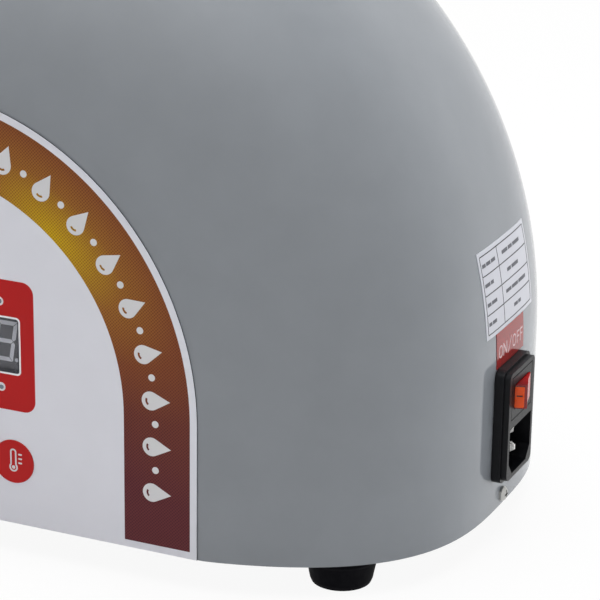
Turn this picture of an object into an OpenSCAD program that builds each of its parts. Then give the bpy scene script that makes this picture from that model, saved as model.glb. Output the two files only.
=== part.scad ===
// Electric screw oil press with an arched housing.
// Millimetres, +X towards the mains inlet, the control panel faces -Y, +Z up.
// The origin is on the table, below the middle of the whole machine.

/* [Housing] */
// Length of the housing
body_len = 430; // [410:2:450]
// Depth of the housing over the bulge between its two flat faces
body_depth = 236; // [232:2:242]
// Distance from the flat front face to the flat rear face
face_depth = 220; // [216:2:224]
// Height of the straight skirt below the arch
skirt_h = 63; // [60:1:68]
// Exponent of the rounded cross-section of the housing
edge_exponent = 3.1; // [2.9:0.05:3.3]
// Wall thickness of the housing
wall = 2.5; // [2:0.1:3]
// Height of the rubber feet
foot_h = 14; // [12:1:16]
// Distance of each foot from the middle of the housing, lengthwise
foot_x = 172; // [165:1:175]
// Distance of each foot from the middle of the housing, in depth
foot_y = 74; // [70:1:75]

/* [Control panel] */
// Outer radius of the arched control overlay
arch_r = 124; // [120:1:125]
// Height of the arch centre above the bottom edge of the housing
arch_z = 57.7; // [55:0.1:60]
// Width of the display window
window_w = 88; // [84:1:90]
// Height of the display window
window_h = 25.4; // [24:0.2:27]
// Height of the window's middle above the bottom edge of the housing
window_z = 78.4; // [76:0.2:80]
// Diameter of the push keys
key_d = 18.8; // [17:0.2:19]
// Spacing of the push keys
key_pitch = 40; // [38:1:42]
// Height of the keys above the bottom edge of the housing
key_z = 27.8; // [26:0.2:29]
// Travel of the push keys
key_travel = 0.6; // [0.4:0.1:0.6]

/* [Mains inlet] */
// Width of the inlet's front face
inlet_w = 30.6; // [30:0.1:31]
// Height of the inlet's front face
inlet_h = 48; // [47:0.5:49]
// Sideways offset of the inlet from the middle of the housing
inlet_y = -0.7; // [-1.5:0.1:0]
// Height of the inlet's middle above the bottom edge of the housing
inlet_z = 39.7; // [39:0.1:41]
// Angle that the rocker switch tilts through
rocker_tilt = 30; // [26:1:32]

/* [Drive] */
// Height of the pressing screw above the table
press_z = 150; // [148:1:152]
// Gear module
gear_module = 1.5; // [1.5]
// Teeth on both pinions
pinion_teeth = 14; // [14]
// Teeth on both wheels
wheel_teeth = 56; // [56]
// Radius of the motor can
motor_r = 40; // [36:1:41]
// Size of the cooling fan frame
fan_size = 80; // [80]

/* [Press head] */
// Radius of the press barrel
barrel_r = 26; // [26:0.5:27]
// Inner radius of the press barrel
barrel_bore_r = 15.3; // [15.2:0.1:15.5]
// Length of the press barrel outside its socket
barrel_len = 100; // [100:1:104]
// Radius of the pressing screw over its flights
screw_r = 14.8; // [14.6:0.1:14.8]
// Pitch of the pressing screw
screw_pitch = 18; // [16:1:22]
// Radius of the hopper at its rim
hopper_r = 56; // [50:1:58]
// Radius of the oil cup
cup_r = 41; // [38:1:41]
// Height of the oil cup
cup_h = 84; // [80:1:86]
// Radius of the residue cup
residue_r = 32; // [28:1:33]

/* [Hidden] */

$fn = 72;
gap = 0.3;
eps = 0.01;

// Places along X, measured from the middle of the housing
end_x = body_len / 2;
collar_x = -end_x - 2;
socket_face_x = -end_x - 25;
barrel_end_x = socket_face_x - barrel_len;
cap_end_x = barrel_end_x - 14;
nozzle_end_x = cap_end_x - 12;
mouth_x = socket_face_x - 22;
slots_x = socket_face_x - 54;
heater_x = socket_face_x - 77;
cup_x = slots_x;
residue_x = cup_x - cup_r - residue_r - 4;
case_left_x = -160;
case_split_x = case_left_x + 30;
case_right_x = case_split_x + 28;

// The inlet stands this far out of the housing
inlet_flange_t = 4;
inlet_tier_t = 2.5;
inlet_face_x = end_x + inlet_flange_t + inlet_tier_t;
// The rocker's ends are arcs about its pin, which lies rocker_set behind the inlet's face
rocker_r = 8.7;
rocker_nose = 4.35;
rocker_set = 1.6;
rocker_half = sqrt(rocker_r * rocker_r - rocker_nose * rocker_nose);
rocker_proud = rocker_nose * cos(rocker_tilt / 2) + rocker_half * sin(rocker_tilt / 2) - rocker_set;

shell_z = foot_h;
dome_z = shell_z + skirt_h;
face_y = face_depth / 2;
overlay_t = 0.5;
key_proud = 0.35;
guard_t = 1.2;
fan_screw_head = 2;
window_cz = shell_z + window_z;
key_cz = shell_z + key_z;
inlet_cz = shell_z + inlet_z;
screw_cz = shell_z + 4.8;
pan_t = 2;
pan_top = shell_z + pan_t;
board_y = -face_y + 12;
board_t = 1.6;
fan_x = 60;
fan_z = 108;
fan_t = 25;
fan_bolt = 35.75;

// The housing is set off so that the machine's middle is the origin
body_x = (-(residue_x - residue_r) - (inlet_face_x + rocker_proud)) / 2;
body_y = ((overlay_t + key_proud) - (guard_t + fan_screw_head)) / 2;

// Gearing
wheel_r = gear_module * wheel_teeth / 2;
pinion_r = gear_module * pinion_teeth / 2;
gear_distance = wheel_r + pinion_r;
lay_z = press_z - gear_distance;
pressure_angle = 20;
gear_play = 0.22;

// ---------- shared shapes ----------

// Moves a piece from the housing's own place to the machine's frame
module placed() {
    translate([body_x, body_y, 0])
        children();
}

// A cylinder along X from x0 to x1, round the height z
module rod_x(x0, x1, r, z = press_z, y = 0, fn = 72) {
    translate([min(x0, x1), y, z])
        rotate([0, 90, 0])
            cylinder(h = abs(x1 - x0), r = r, $fn = fn);
}

// A cylinder along Y from y0 to y1
module rod_y(y0, y1, r, x, z, fn = 72) {
    translate([x, max(y0, y1), z])
        rotate([90, 0, 0])
            cylinder(h = abs(y1 - y0), r = r, $fn = fn);
}

// A tube along X
module tube_x(x0, x1, r_out, r_in, z = press_z, y = 0) {
    difference() {
        rod_x(x0, x1, r_out, z, y);
        rod_x(min(x0, x1) - 1, max(x0, x1) + 1, r_in, z, y);
    }
}

// A block given by its lowest and highest corners
module block(low, high) {
    translate(low)
        cube(high - low);
}

// A rectangle with round corners, centred
module round_rect(w, h, r) {
    hull()
        for (sx = [-1, 1], sy = [-1, 1])
            translate([sx * (w / 2 - r), sy * (h / 2 - r)])
                circle(r = r, $fn = 32);
}

// A plate in the XZ plane from y0 to y1 with round corners
module panel_plate(x, z, w, h, r, y0, y1) {
    translate([x, max(y0, y1), z])
        rotate([90, 0, 0])
            linear_extrude(abs(y1 - y0))
                round_rect(w, h, r);
}

// A pan-head screw along +Z, its seat at z = 0, with a cross recess
module pan_screw(head_r, head_h, shank_r, shank_l) {
    difference() {
        rotate_extrude($fn = 48)
            polygon([[0, -shank_l], [shank_r, -shank_l], [shank_r, 0], [head_r, 0],
                [head_r, head_h * 0.45], [head_r * 0.8, head_h * 0.8],
                [head_r * 0.45, head_h], [0, head_h]]);
        for (turn = [0, 90])
            rotate([0, 0, turn])
                translate([0, 0, head_h])
                    cube([head_r * 1.1, head_r * 0.25, head_h * 0.9], center = true);
    }
}

// ---------- housing form ----------

// Half length of the rounded section at the depth y, for a wall set in by inset
function section_half(y, inset) =
    (end_x - inset) * pow(max(0, 1 - pow(abs(y) / (body_depth / 2 - inset), edge_exponent)),
        1 / edge_exponent);

// Depths at which the section is drawn, closer together near the flat faces
section_steps = 14;
function section_depths(inset) =
    [for (i = [-section_steps : section_steps]) (face_y - inset) * sin(90 * i / section_steps)];

// The housing's solid form, set in by inset; its foot is at z = low
module housing_form(inset = 0, low = shell_z) {
    depths = section_depths(inset);
    half = [for (y = depths) [section_half(y, inset), y]];
    translate([0, 0, dome_z])
        rotate([90, 0, 0])
            rotate_extrude(angle = 180, $fn = 120)
                polygon(concat([[0, depths[0]]], half, [[0, depths[2 * section_steps]]]));
    translate([0, 0, low])
        linear_extrude(dome_z - low)
            section_outline(inset);
}

module section_outline(inset) {
    depths = section_depths(inset);
    last = 2 * section_steps;
    polygon(concat(
        [for (y = depths) [section_half(y, inset), y]],
        [for (i = [last : -1 : 0]) [-section_half(depths[i], inset), depths[i]]]));
}

// A thin sheet that lies on the housing's surface
module housing_skin(t) {
    difference() {
        housing_form(-t);
        housing_form(0, shell_z - 1);
    }
}

// ---------- housing and base ----------

// Shell screws: one under the inlet, two at the head end, two at the back
inlet_screw_y = inlet_y - 1.8;
rear_screw_x = 95;
end_screw_y = 20;
screw_head_r = 3.2;
module at_shell_screws() {
    translate([end_x - 0.05, inlet_screw_y, screw_cz])
        rotate([0, 90, 0])
            children();
    for (side = [-1, 1])
        translate([0.05 - section_half(end_screw_y + screw_head_r + 0.2, 0), side * end_screw_y, screw_cz])
            rotate([0, -90, 0])
                children();
    for (side = [-1, 1])
        translate([side * rear_screw_x, face_y, screw_cz])
            rotate([-90, 0, 0])
                children();
}

socket_r = 33;
led_places = [for (x = [-35, 0, 35], z = [59.4, 97.2]) [x, shell_z + z]];
led_r = 1.3;
key_hole_r = key_d / 2 + 0.25;

module housing_shell() {
    color([0.56, 0.58, 0.6])
        placed()
            difference() {
                housing_form();
                housing_form(wall, shell_z - 1);
                // display, keys and lamps
                translate([0, -face_y, window_cz])
                    cube([window_w, 4 * wall, window_h], center = true);
                for (i = [-1 : 1])
                    rod_y(-face_y - 1, -face_y + 2 * wall, key_hole_r, i * key_pitch, key_cz);
                for (p = led_places)
                    rod_y(-face_y - 1, -face_y + 2 * wall, led_r + 0.1, p[0], p[1], 24);
                // mains inlet
                translate([end_x, inlet_y, inlet_cz])
                    cube([4 * wall, inlet_w - 1.4, inlet_h - 1.4], center = true);
                // press head
                rod_x(-end_x - 5, -end_x + 60, socket_r + gap);
                // cooling air in at the rear left, out through the fan
                rod_y(face_y - 2 * wall, face_y + 1, fan_size / 2 - 3, fan_x, fan_z);
                for (i = [0 : 8])
                    translate([-100 + 11 * i, face_y, 100])
                        cube([4, 4 * wall, 70], center = true);
                at_shell_screws() {
                    cylinder(h = 30, r = 1.8, center = true, $fn = 24);
                    cylinder(h = 4, r = screw_head_r + 0.2, $fn = 32);
                }
                at_fan_corners(0)
                    rod_y(face_y - 2 * wall, face_y + 1, 2.1, 0, 0, 24);
                rod_x(-end_x - 5, -end_x + 60, 3.3, conduit_z, conduit_y, 32);
            }
}

pan_gap = 0.4;
upstand_t = 1.8;
upstand_h = 16;
module base_pan() {
    inset = wall + pan_gap;
    color([0.25, 0.26, 0.28])
        placed()
            difference() {
                translate([0, 0, shell_z])
                    linear_extrude(upstand_h)
                        section_outline(inset);
                translate([0, 0, pan_top])
                    linear_extrude(upstand_h)
                        section_outline(inset + upstand_t);
                at_shell_screws()
                    cylinder(h = 30, r = 1.55, center = true, $fn = 24);
                for (sx = [-1, 1], sy = [-1, 1])
                    translate([sx * foot_x, sy * foot_y, shell_z - 1])
                        cylinder(h = 10, r = 2.1, $fn = 24);
                // air slots in the floor
                for (i = [-5 : 5])
                    translate([10 * i, -56, shell_z])
                        cube([3.5, 40, 10], center = true);
            }
}

foot_r = 15.2;
foot_low_r = 13;
foot_hole_r = 5.5;
foot_web = 5;
module rubber_feet() {
    color([0.06, 0.06, 0.07])
        placed()
            for (sx = [-1, 1], sy = [-1, 1])
                translate([sx * foot_x, sy * foot_y, 0])
                    rotate_extrude()
                        polygon([[foot_hole_r, 0], [foot_low_r - 2.2, 0], [foot_low_r - 0.7, 0.6],
                            [foot_low_r, 2.2], [foot_r - 0.5, foot_h - 3.5], [foot_r, foot_h - 2.4],
                            [foot_r, foot_h], [2.2, foot_h], [2.2, foot_h - foot_web],
                            [foot_hole_r, foot_h - foot_web]]);
}

module foot_screws() {
    color("silver")
        placed()
            for (sx = [-1, 1], sy = [-1, 1])
                translate([sx * foot_x, sy * foot_y, foot_h - foot_web])
                    mirror([0, 0, 1])
                        pan_screw(4, 2.6, 2, 12);
}

module shell_screws() {
    color("silver")
        placed()
            at_shell_screws()
                pan_screw(screw_head_r, 2.4, 1.45, 8);
}

// ---------- control panel ----------

module control_overlay() {
    color([0.85, 0.86, 0.88])
        placed()
            difference() {
                intersection() {
                    union() {
                        rod_y(-face_y - overlay_t, -face_y, arch_r, 0, shell_z + arch_z, 180);
                        block([-arch_r, -face_y - overlay_t, shell_z],
                            [arch_r, -face_y, shell_z + arch_z]);
                    }
                    block([-arch_r, -face_y - 2, shell_z], [arch_r, -face_y + 1, 400]);
                }
                translate([0, -face_y, window_cz])
                    cube([window_w, 4 * wall, window_h], center = true);
                for (i = [-1 : 1])
                    rod_y(-face_y - 2, -face_y + 1, key_hole_r, i * key_pitch, key_cz);
                for (p = led_places)
                    rod_y(-face_y - 2, -face_y + 1, led_r + 0.1, p[0], p[1], 24);
            }
}

lens_t = 1.4;
module display_lens() {
    color([0.2, 0.21, 0.23, 0.6])
        placed()
            panel_plate(0, window_cz, window_w - 0.2, window_h - 0.2, 1.2,
                -face_y - overlay_t + 0.1, -face_y - overlay_t + 0.1 + lens_t);
}

module display_module() {
    // four seven-segment digits in one block
    color([0.3, 0.3, 0.32])
        placed()
            block([-window_w / 2 + 1.5, -face_y - overlay_t + 0.3 + lens_t, window_cz - 12],
                [window_w / 2 - 1.5, board_y, window_cz + 12]);
}

board_low = key_cz - 12;
board_high = window_cz + 30;
board_half = 64;
standoff_x = 58;
module at_standoffs() {
    for (sx = [-1, 1], z = [board_low + 5, board_high - 5])
        translate([sx * standoff_x, 0, z])
            children();
}

module control_board() {
    color([0.1, 0.4, 0.2])
        placed()
            difference() {
                union() {
                    block([-board_half, board_y, board_low],
                        [board_half, board_y + board_t, board_high]);
                    // processor, buzzer and plug on the inner side
                    block([-12, board_y + board_t, window_cz - 6],
                        [12, board_y + board_t + 2, window_cz + 6]);
                    rod_y(board_y + board_t, board_y + board_t + 8, 6, 40, window_cz);
                    block([-50, board_y + board_t, window_cz - 4],
                        [-30, board_y + board_t + 7, window_cz + 4]);
                }
                at_standoffs()
                    rod_y(board_y - 1, board_y + board_t + 1, 1.6, 0, 0, 24);
            }
}

module board_standoffs() {
    color("silver")
        placed()
            at_standoffs()
                difference() {
                    union() {
                        rod_y(-face_y + wall, board_y, 3, 0, 0, 32);
                        rod_y(board_y, board_y + board_t + 0.1, 1.5, 0, 0, 24);
                        rod_y(board_y + board_t + 0.1, board_y + board_t + 2, 2.8, 0, 0, 32);
                    }
                    translate([0, board_y + board_t + 2, 0])
                        cube([4, 1.6, 0.8], center = true);
                }
}

module indicator_leds() {
    color([0.35, 0.4, 0.45])
        placed()
            for (p = led_places) {
                rod_y(-face_y - overlay_t + 0.1, -face_y + 4.5, led_r, p[0], p[1], 32);
                rod_y(-face_y + 4.5, board_y, 1.9, p[0], p[1], 32);
            }
}

tact_h = 4.4;
module tact_switches() {
    color([0.15, 0.15, 0.16])
        placed()
            for (i = [-1 : 1]) {
                block([i * key_pitch - 3, board_y - tact_h + 1, key_cz - 3],
                    [i * key_pitch + 3, board_y, key_cz + 3]);
                rod_y(board_y - tact_h, board_y - tact_h + 1, 1.7, i * key_pitch, key_cz, 32);
            }
}

// A round key: cap, retaining flange behind the panel and stem
module push_key(i) {
    flange_y = -face_y + wall + 0.1;
    color([0.66, 0.14, 0.15])
        placed() {
            rod_y(-face_y - overlay_t - key_proud, flange_y, key_d / 2, i * key_pitch, key_cz);
            rod_y(flange_y, flange_y + 1.2, key_d / 2 + 1.5, i * key_pitch, key_cz);
            rod_y(flange_y + 1.2, board_y - tact_h - key_travel - 0.1, 2.4,
                i * key_pitch, key_cz, 32);
        }
}
module key_left() push_key(-1);
module key_middle() push_key(0);
module key_right() push_key(1);

// ---------- labels and mains inlet ----------

plate_t = 0.25;
module rating_plate() {
    color([0.85, 0.86, 0.88])
        placed()
            intersection() {
                housing_skin(plate_t);
                block([end_x - 20, -25.6, shell_z + 80.7], [end_x + 5, 30.5, shell_z + 117]);
            }
}

module switch_strip() {
    color([0.7, 0.16, 0.16])
        placed()
            intersection() {
                housing_skin(plate_t);
                block([end_x - 20, -15.5, shell_z + 65.1], [end_x + 5, 17.4, shell_z + 80.6]);
            }
}

recess_w = 26.4;
recess_low = shell_z + 17.7;
recess_high = shell_z + 38.6;
recess_depth = 17;
rocker_h = 10.5;
rocker_cz = shell_z + 52.15;
rocker_pivot_x = inlet_face_x - rocker_set;
rocker_pin_r = 1;
inlet_back_x = inlet_face_x - 26;

module inlet_block(grow_w, grow_h, r, x0, x1) {
    translate([x0, inlet_y, inlet_cz])
        rotate([90, 0, 90])
            linear_extrude(x1 - x0)
                round_rect(inlet_w + grow_w, inlet_h + grow_h, r);
}

module inlet_body() {
    chamfer_y = 4.5;
    chamfer_z = 5.5;
    half = recess_w / 2;
    color([0.1, 0.1, 0.11])
        placed()
            difference() {
                union() {
                    inlet_block(0, 0, 3, end_x + inlet_flange_t, inlet_face_x);
                    inlet_block(2, 2.5, 3.6, end_x, end_x + inlet_flange_t);
                    inlet_block(-2, -2, 1.5, inlet_back_x, end_x);
                }
                // appliance-plug recess, its lower corners cut off
                translate([inlet_face_x - recess_depth, inlet_y, 0])
                    rotate([90, 0, 90])
                        linear_extrude(recess_depth + 1)
                            polygon([[-half, recess_high], [-half, recess_low + chamfer_z],
                                [-half + chamfer_y, recess_low], [half - chamfer_y, recess_low],
                                [half, recess_low + chamfer_z], [half, recess_high]]);
                // rocker well
                block([inlet_face_x - 15, inlet_y - rocker_r - 0.35, rocker_cz - rocker_h / 2 - 0.35],
                    [inlet_face_x + 1, inlet_y + rocker_r + 0.35, rocker_cz + rocker_h / 2 + 0.35]);
                translate([rocker_pivot_x, inlet_y, rocker_cz])
                    cylinder(h = rocker_h + 3, r = rocker_pin_r + 0.05, center = true, $fn = 32);
                // fine groove round the switch frame
                translate([inlet_face_x - 0.35, inlet_y, shell_z + 52])
                    rotate([90, 0, 90])
                        linear_extrude(1)
                            difference() {
                                square([24.6, 19.2], center = true);
                                square([23.8, 18.4], center = true);
                            }
                // pin passages
                for (p = pin_places)
                    block([inlet_back_x - 1, p[0] - pin_t / 2, p[1] - pin_w / 2],
                        [inlet_face_x - recess_depth + 1, p[0] + pin_t / 2, p[1] + pin_w / 2]);
            }
}

pin_t = 2;
pin_w = 4;
pin_taper = 1.8;
// Depth offset, height, and how far the tip stays behind the face; the earth pin is the longest
pin_places = [[inlet_y - 7, recess_high - 7.5, 5.4], [inlet_y + 7, recess_high - 7.5, 5.4],
    [inlet_y, recess_high - 12.5, 2.1]];
module inlet_pins() {
    color([0.8, 0.8, 0.78])
        placed()
            for (p = pin_places)
                translate([0, p[0], p[1]])
                    hull() {
                        block([inlet_back_x - 8, -pin_t / 2, -pin_w / 2],
                            [inlet_face_x - p[2] - pin_taper, pin_t / 2, pin_w / 2]);
                        block([inlet_back_x - 8, -pin_t / 4, -pin_w / 4],
                            [inlet_face_x - p[2], pin_t / 4, pin_w / 4]);
                    }
}

// The rocker is drawn with its near half raised; it turns about an upright pin
module rocker_switch() {
    ridge = atan2(rocker_half, rocker_nose);
    end_turn = 100;
    steps = 6;
    rocker_back = 5.5;
    far_end = [for (k = [0:steps]) let (a = ridge + (end_turn - ridge) * k / steps) rocker_r * [cos(a), sin(a)]];
    near_end = [for (k = [steps:-1:0]) [far_end[k][0], -far_end[k][1]]];
    color([0.8, 0.2, 0.1])
        placed()
            translate([rocker_pivot_x, inlet_y, rocker_cz]) {
                translate([0, 0, -rocker_h / 2])
                    linear_extrude(rocker_h)
                        rotate(rocker_tilt / 2)
                            polygon(concat(far_end, [[-rocker_back, rocker_half * 0.6], [-rocker_back, -rocker_half * 0.6]],
                                near_end, [[rocker_nose - 0.35, 0]]));
                cylinder(h = rocker_h + 2.6, r = rocker_pin_r, center = true, $fn = 32);
            }
}

// ---------- cooling ----------

fan_y0 = face_y - wall - fan_t;
hub_r = 18;
module at_fan_corners(y) {
    for (c = [-1, 1], d = [-1, 1])
        translate([fan_x + fan_bolt * c, y, fan_z + fan_bolt * d])
            children();
}

module fan_guard() {
    guard_y = face_y;
    ring_w = 1.4;
    bar_len = 2 * sqrt(2) * fan_bolt;
    color([0.12, 0.12, 0.13])
        placed()
            difference() {
                union() {
                    for (r = [14, 22, 30, 38])
                        difference() {
                            rod_y(guard_y, guard_y + guard_t, r + ring_w / 2, fan_x, fan_z);
                            rod_y(guard_y - 1, guard_y + 2, r - ring_w / 2, fan_x, fan_z);
                        }
                    for (turn = [45, 135])
                        translate([fan_x, guard_y + guard_t / 2, fan_z])
                            rotate([0, turn, 0])
                                cube([bar_len, guard_t, 2.2], center = true);
                    at_fan_corners(0)
                        rod_y(guard_y, guard_y + guard_t, 4, 0, 0, 32);
                }
                at_fan_corners(0)
                    rod_y(guard_y - 1, guard_y + 2, 2.1, 0, 0, 24);
            }
}

module fan_frame() {
    color([0.08, 0.08, 0.09])
        placed()
            difference() {
                panel_plate(fan_x, fan_z, fan_size, fan_size, 4, fan_y0, fan_y0 + fan_t);
                rod_y(fan_y0 + 3, fan_y0 + fan_t + 1, fan_size / 2 - 2, fan_x, fan_z);
                // open the back between its four spokes
                for (turn = [0 : 90 : 270])
                    translate([fan_x, fan_y0 + 1, fan_z])
                        rotate([0, turn, 0])
                            rotate([90, 0, 0])
                                linear_extrude(8, center = true)
                                    polygon([[3.5 + hub_r / 1.5, 3.5], [fan_size / 2 - 6, 3.5],
                                        [fan_size / 2 * 0.72, fan_size / 2 * 0.52],
                                        [fan_size / 2 * 0.52, fan_size / 2 * 0.72],
                                        [3.5, fan_size / 2 - 6], [3.5, 3.5 + hub_r / 1.5],
                                        [hub_r * 0.75, hub_r * 0.75]]);
                at_fan_corners(0)
                    rod_y(fan_y0 - 1, fan_y0 + fan_t + 1, 2.1, 0, 0, 24);
                rod_y(fan_y0 - 1, fan_y0 + 4, 2.05, fan_x, fan_z, 32);
            }
}

module fan_rotor() {
    blades = 7;
    color([0.1, 0.1, 0.11])
        placed() {
            rod_y(fan_y0 + 0.4, fan_y0 + 5, 2, fan_x, fan_z, 32);
            rod_y(fan_y0 + 4, fan_y0 + fan_t - 2, hub_r, fan_x, fan_z);
            for (i = [0 : blades - 1])
                translate([fan_x, fan_y0 + fan_t / 2 + 1, fan_z])
                    rotate([0, i * 360 / blades, 0])
                        translate([hub_r + 8.6, 0, 0])
                            rotate([32, 0, 0])
                                cube([19, 1.6, 18], center = true);
        }
}

module fan_screws() {
    color("silver")
        placed()
            at_fan_corners(face_y + guard_t)
                rotate([-90, 0, 0])
                    pan_screw(3.4, fan_screw_head, 1.9, 30);
}

module power_board() {
    low = pan_top + 8;
    color([0.1, 0.4, 0.2])
        placed()
            difference() {
                union() {
                    block([70, -70, low], [160, 30, low + 1.6]);
                    for (x = [76, 154], y = [-64, 24])
                        translate([x, y, pan_top])
                            cylinder(h = 8, r = 3.5, $fn = 32);
                    // transformer, relays, heat sink and capacitors
                    block([80, -60, low + 1.6], [112, -26, low + 30]);
                    for (i = [0 : 1])
                        block([122, -62 + 24 * i, low + 1.6], [150, -44 + 24 * i, low + 17]);
                    for (i = [0 : 5])
                        block([84 + 6 * i, -8, low + 1.6], [86 + 6 * i, 22, low + 32]);
                    block([84, -8, low + 1.6], [116, 22, low + 6]);
                    for (i = [0 : 2])
                        translate([130 + 10 * i, 8, low + 1.6])
                            cylinder(h = 22, r = 4.5, $fn = 32);
                }
                for (x = [76, 154], y = [-64, 24])
                    translate([x, y, low + 2])
                        cylinder(h = 10, r = 1.6, center = true, $fn = 24);
            }
}

// ---------- motor ----------

motor_x0 = case_right_x;
motor_x1 = motor_x0 + 112;
bell_t = 14;
motor_shaft_r = 5;
bearing_w = 8;

module motor_stator() {
    color([0.35, 0.36, 0.38])
        placed()
            difference() {
                union() {
                    rod_x(motor_x0, motor_x0 + bell_t, motor_r);
                    rod_x(motor_x0 + bell_t, motor_x1 - bell_t, motor_r - 1.5);
                    rod_x(motor_x1 - bell_t, motor_x1, motor_r);
                }
                rod_x(motor_x0 + bell_t - 2, motor_x1 - bell_t + 2, motor_r - 4);
                rod_x(motor_x0 - 1, motor_x0 + bell_t, 11);
                rod_x(motor_x1 - bell_t, motor_x1 + 1, 11);
                // cooling windows in both end bells
                for (turn = [0 : 60 : 300])
                    translate([0, 0, press_z])
                        rotate([turn, 0, 0])
                            for (x = [motor_x0 + 7, motor_x1 - 7])
                                translate([x, 0, 24])
                                    cube([8, 12, 14], center = true);
            }
    // field poles with their windings
    color([0.72, 0.4, 0.2])
        placed()
            for (side = [-1, 1])
                intersection() {
                    tube_x(motor_x0 + 26, motor_x1 - 26, motor_r - 4, 26);
                    translate([0, side * 32, press_z])
                        cube([400, 26, 46], center = true);
                }
}

module motor_bearings() {
    color("silver")
        placed() {
            tube_x(motor_x0 + 2, motor_x0 + 2 + bearing_w, 11, motor_shaft_r + 0.03);
            tube_x(motor_x1 - 2 - bearing_w, motor_x1 - 2, 11, motor_shaft_r + 0.03);
        }
}

module motor_rotor() {
    color([0.6, 0.6, 0.62])
        placed() {
            rod_x(case_split_x + 5, motor_x1 + 6, motor_shaft_r - 0.02);
            difference() {
                rod_x(motor_x0 + 28, motor_x1 - 28, 25);
                for (turn = [0 : 30 : 330])
                    translate([0, 0, press_z])
                        rotate([turn, 0, 0])
                            translate([(motor_x0 + motor_x1) / 2, 0, 24])
                                cube([80, 1.6, 6], center = true);
            }
            rod_x(motor_x1 - 26, motor_x1 - 16, 12);
        }
}

module motor_pinion() {
    color([0.7, 0.7, 0.72])
        placed()
            difference() {
                gear(pinion_teeth, case_split_x + 6, case_right_x - 4, press_z, 90);
                rod_x(case_split_x, case_right_x, motor_shaft_r - 0.02, press_z);
            }
}

module motor_bracket() {
    color([0.3, 0.31, 0.33])
        placed()
            difference() {
                union() {
                    for (x = [motor_x0 + 40, motor_x1 - 42])
                        block([x, -36, pan_top], [x + 3, 36, press_z - 6]);
                    block([motor_x0 + 30, -44, pan_top], [motor_x1 - 30, 44, pan_top + 3]);
                }
                rod_x(motor_x0, motor_x1, motor_r - 1.5 + 0.05);
                for (x = [motor_x0 + 40, motor_x1 - 42])
                    rod_x(x - 1, x + 4, 16, pan_top + 48);
            }
}

// ---------- gears ----------

// Involute of a base circle of radius rb at the roll angle t, in degrees
function involute(rb, t) =
    [rb * (cos(t) + t * PI / 180 * sin(t)), rb * (sin(t) - t * PI / 180 * cos(t))];
function turned(p, a) = [p[0] * cos(a) - p[1] * sin(a), p[0] * sin(a) + p[1] * cos(a)];

// Outline of one tooth, from its root on one side to its root on the other
flank_steps = 4;
function tooth(teeth, a) =
    let (
        rp = gear_module * teeth / 2,
        rb = rp * cos(pressure_angle),
        ra = rp + 0.95 * gear_module,
        rf = rp - 1.3 * gear_module,
        t_pitch = tan(pressure_angle) * 180 / PI,
        t_tip = sqrt(pow(ra / rb, 2) - 1) * 180 / PI,
        t_start = rf > rb ? sqrt(pow(rf / rb, 2) - 1) * 180 / PI : 0,
        half = 90 / teeth - gear_play / 2 / rp * 180 / PI,
        lean = half + t_pitch - pressure_angle,
        flank = [for (i = [0 : flank_steps])
            involute(rb, t_start + (t_tip - t_start) * i / flank_steps)]
    )
    concat(
        [turned([rf, 0], a - lean)],
        [for (i = [0 : flank_steps]) turned(flank[i], a - lean)],
        [for (i = [flank_steps : -1 : 0]) turned([flank[i][0], -flank[i][1]], a + lean)],
        [turned([rf, 0], a + lean)]);

// A spur gear along X; turn is the angle of its first tooth
module gear(teeth, x0, x1, z, turn) {
    translate([x0, 0, z])
        rotate([90, 0, 90])
            linear_extrude(x1 - x0)
                polygon([for (i = [0 : teeth - 1], p = tooth(teeth, 360 * i / teeth + turn)) p]);
}

// ---------- gearbox ----------

case_r = wheel_r + 6;
case_wall = 4;
case_low_z = lay_z;
case_bolts = [for (a = [20, 90, 160]) [case_r * cos(a), press_z + case_r * sin(a)],
    for (a = [200, 270, 340]) [case_r * cos(a), case_low_z + case_r * sin(a)]];

// Outline of the gear case in the YZ plane
module case_outline(r) {
    for (z = [press_z, case_low_z])
        translate([0, z])
            circle(r = r);
    translate([-r, case_low_z])
        square([2 * r, press_z - case_low_z]);
}

module case_solid(r, x0, x1, bolt_r = 0) {
    translate([x0, 0, 0])
        rotate([90, 0, 90])
            linear_extrude(x1 - x0) {
                case_outline(r);
                if (bolt_r > 0)
                    for (p = case_bolts)
                        translate(p)
                            circle(r = bolt_r, $fn = 32);
            }
}

module at_case_bolts(x) {
    for (p = case_bolts)
        translate([x, p[0], p[1]])
            rotate([0, -90, 0])
                children();
}

// Right half: carries the motor, the layshaft's right end and the output's inner end
module gearcase_body() {
    color([0.66, 0.67, 0.68])
        placed()
            difference() {
                case_solid(case_r, case_split_x, case_right_x, 6);
                case_solid(case_r - case_wall, case_split_x - 1, case_right_x - case_wall + 1);
                rod_x(case_right_x - 10, case_right_x + 1, 11, press_z);
                rod_x(case_right_x - 10, case_right_x + 1, 9.5, lay_z);
                at_case_bolts(case_right_x + 1)
                    cylinder(h = 60, r = 2.1, $fn = 24);
            }
}

// Left half: carries the layshaft's left end and the thrust bearing of the output shaft
module gearcase_cover() {
    color([0.66, 0.67, 0.68])
        placed()
            difference() {
                case_solid(case_r, case_left_x, case_split_x, 6);
                case_solid(case_r - case_wall, case_left_x + case_wall, case_split_x + 1);
                rod_x(case_left_x - 1, case_left_x + 6, 20, press_z);
                rod_x(case_left_x - 1, case_left_x + 6, 9.5, lay_z);
                at_case_bolts(case_split_x + 1)
                    cylinder(h = 60, r = 2.1, $fn = 24);
            }
}

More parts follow.
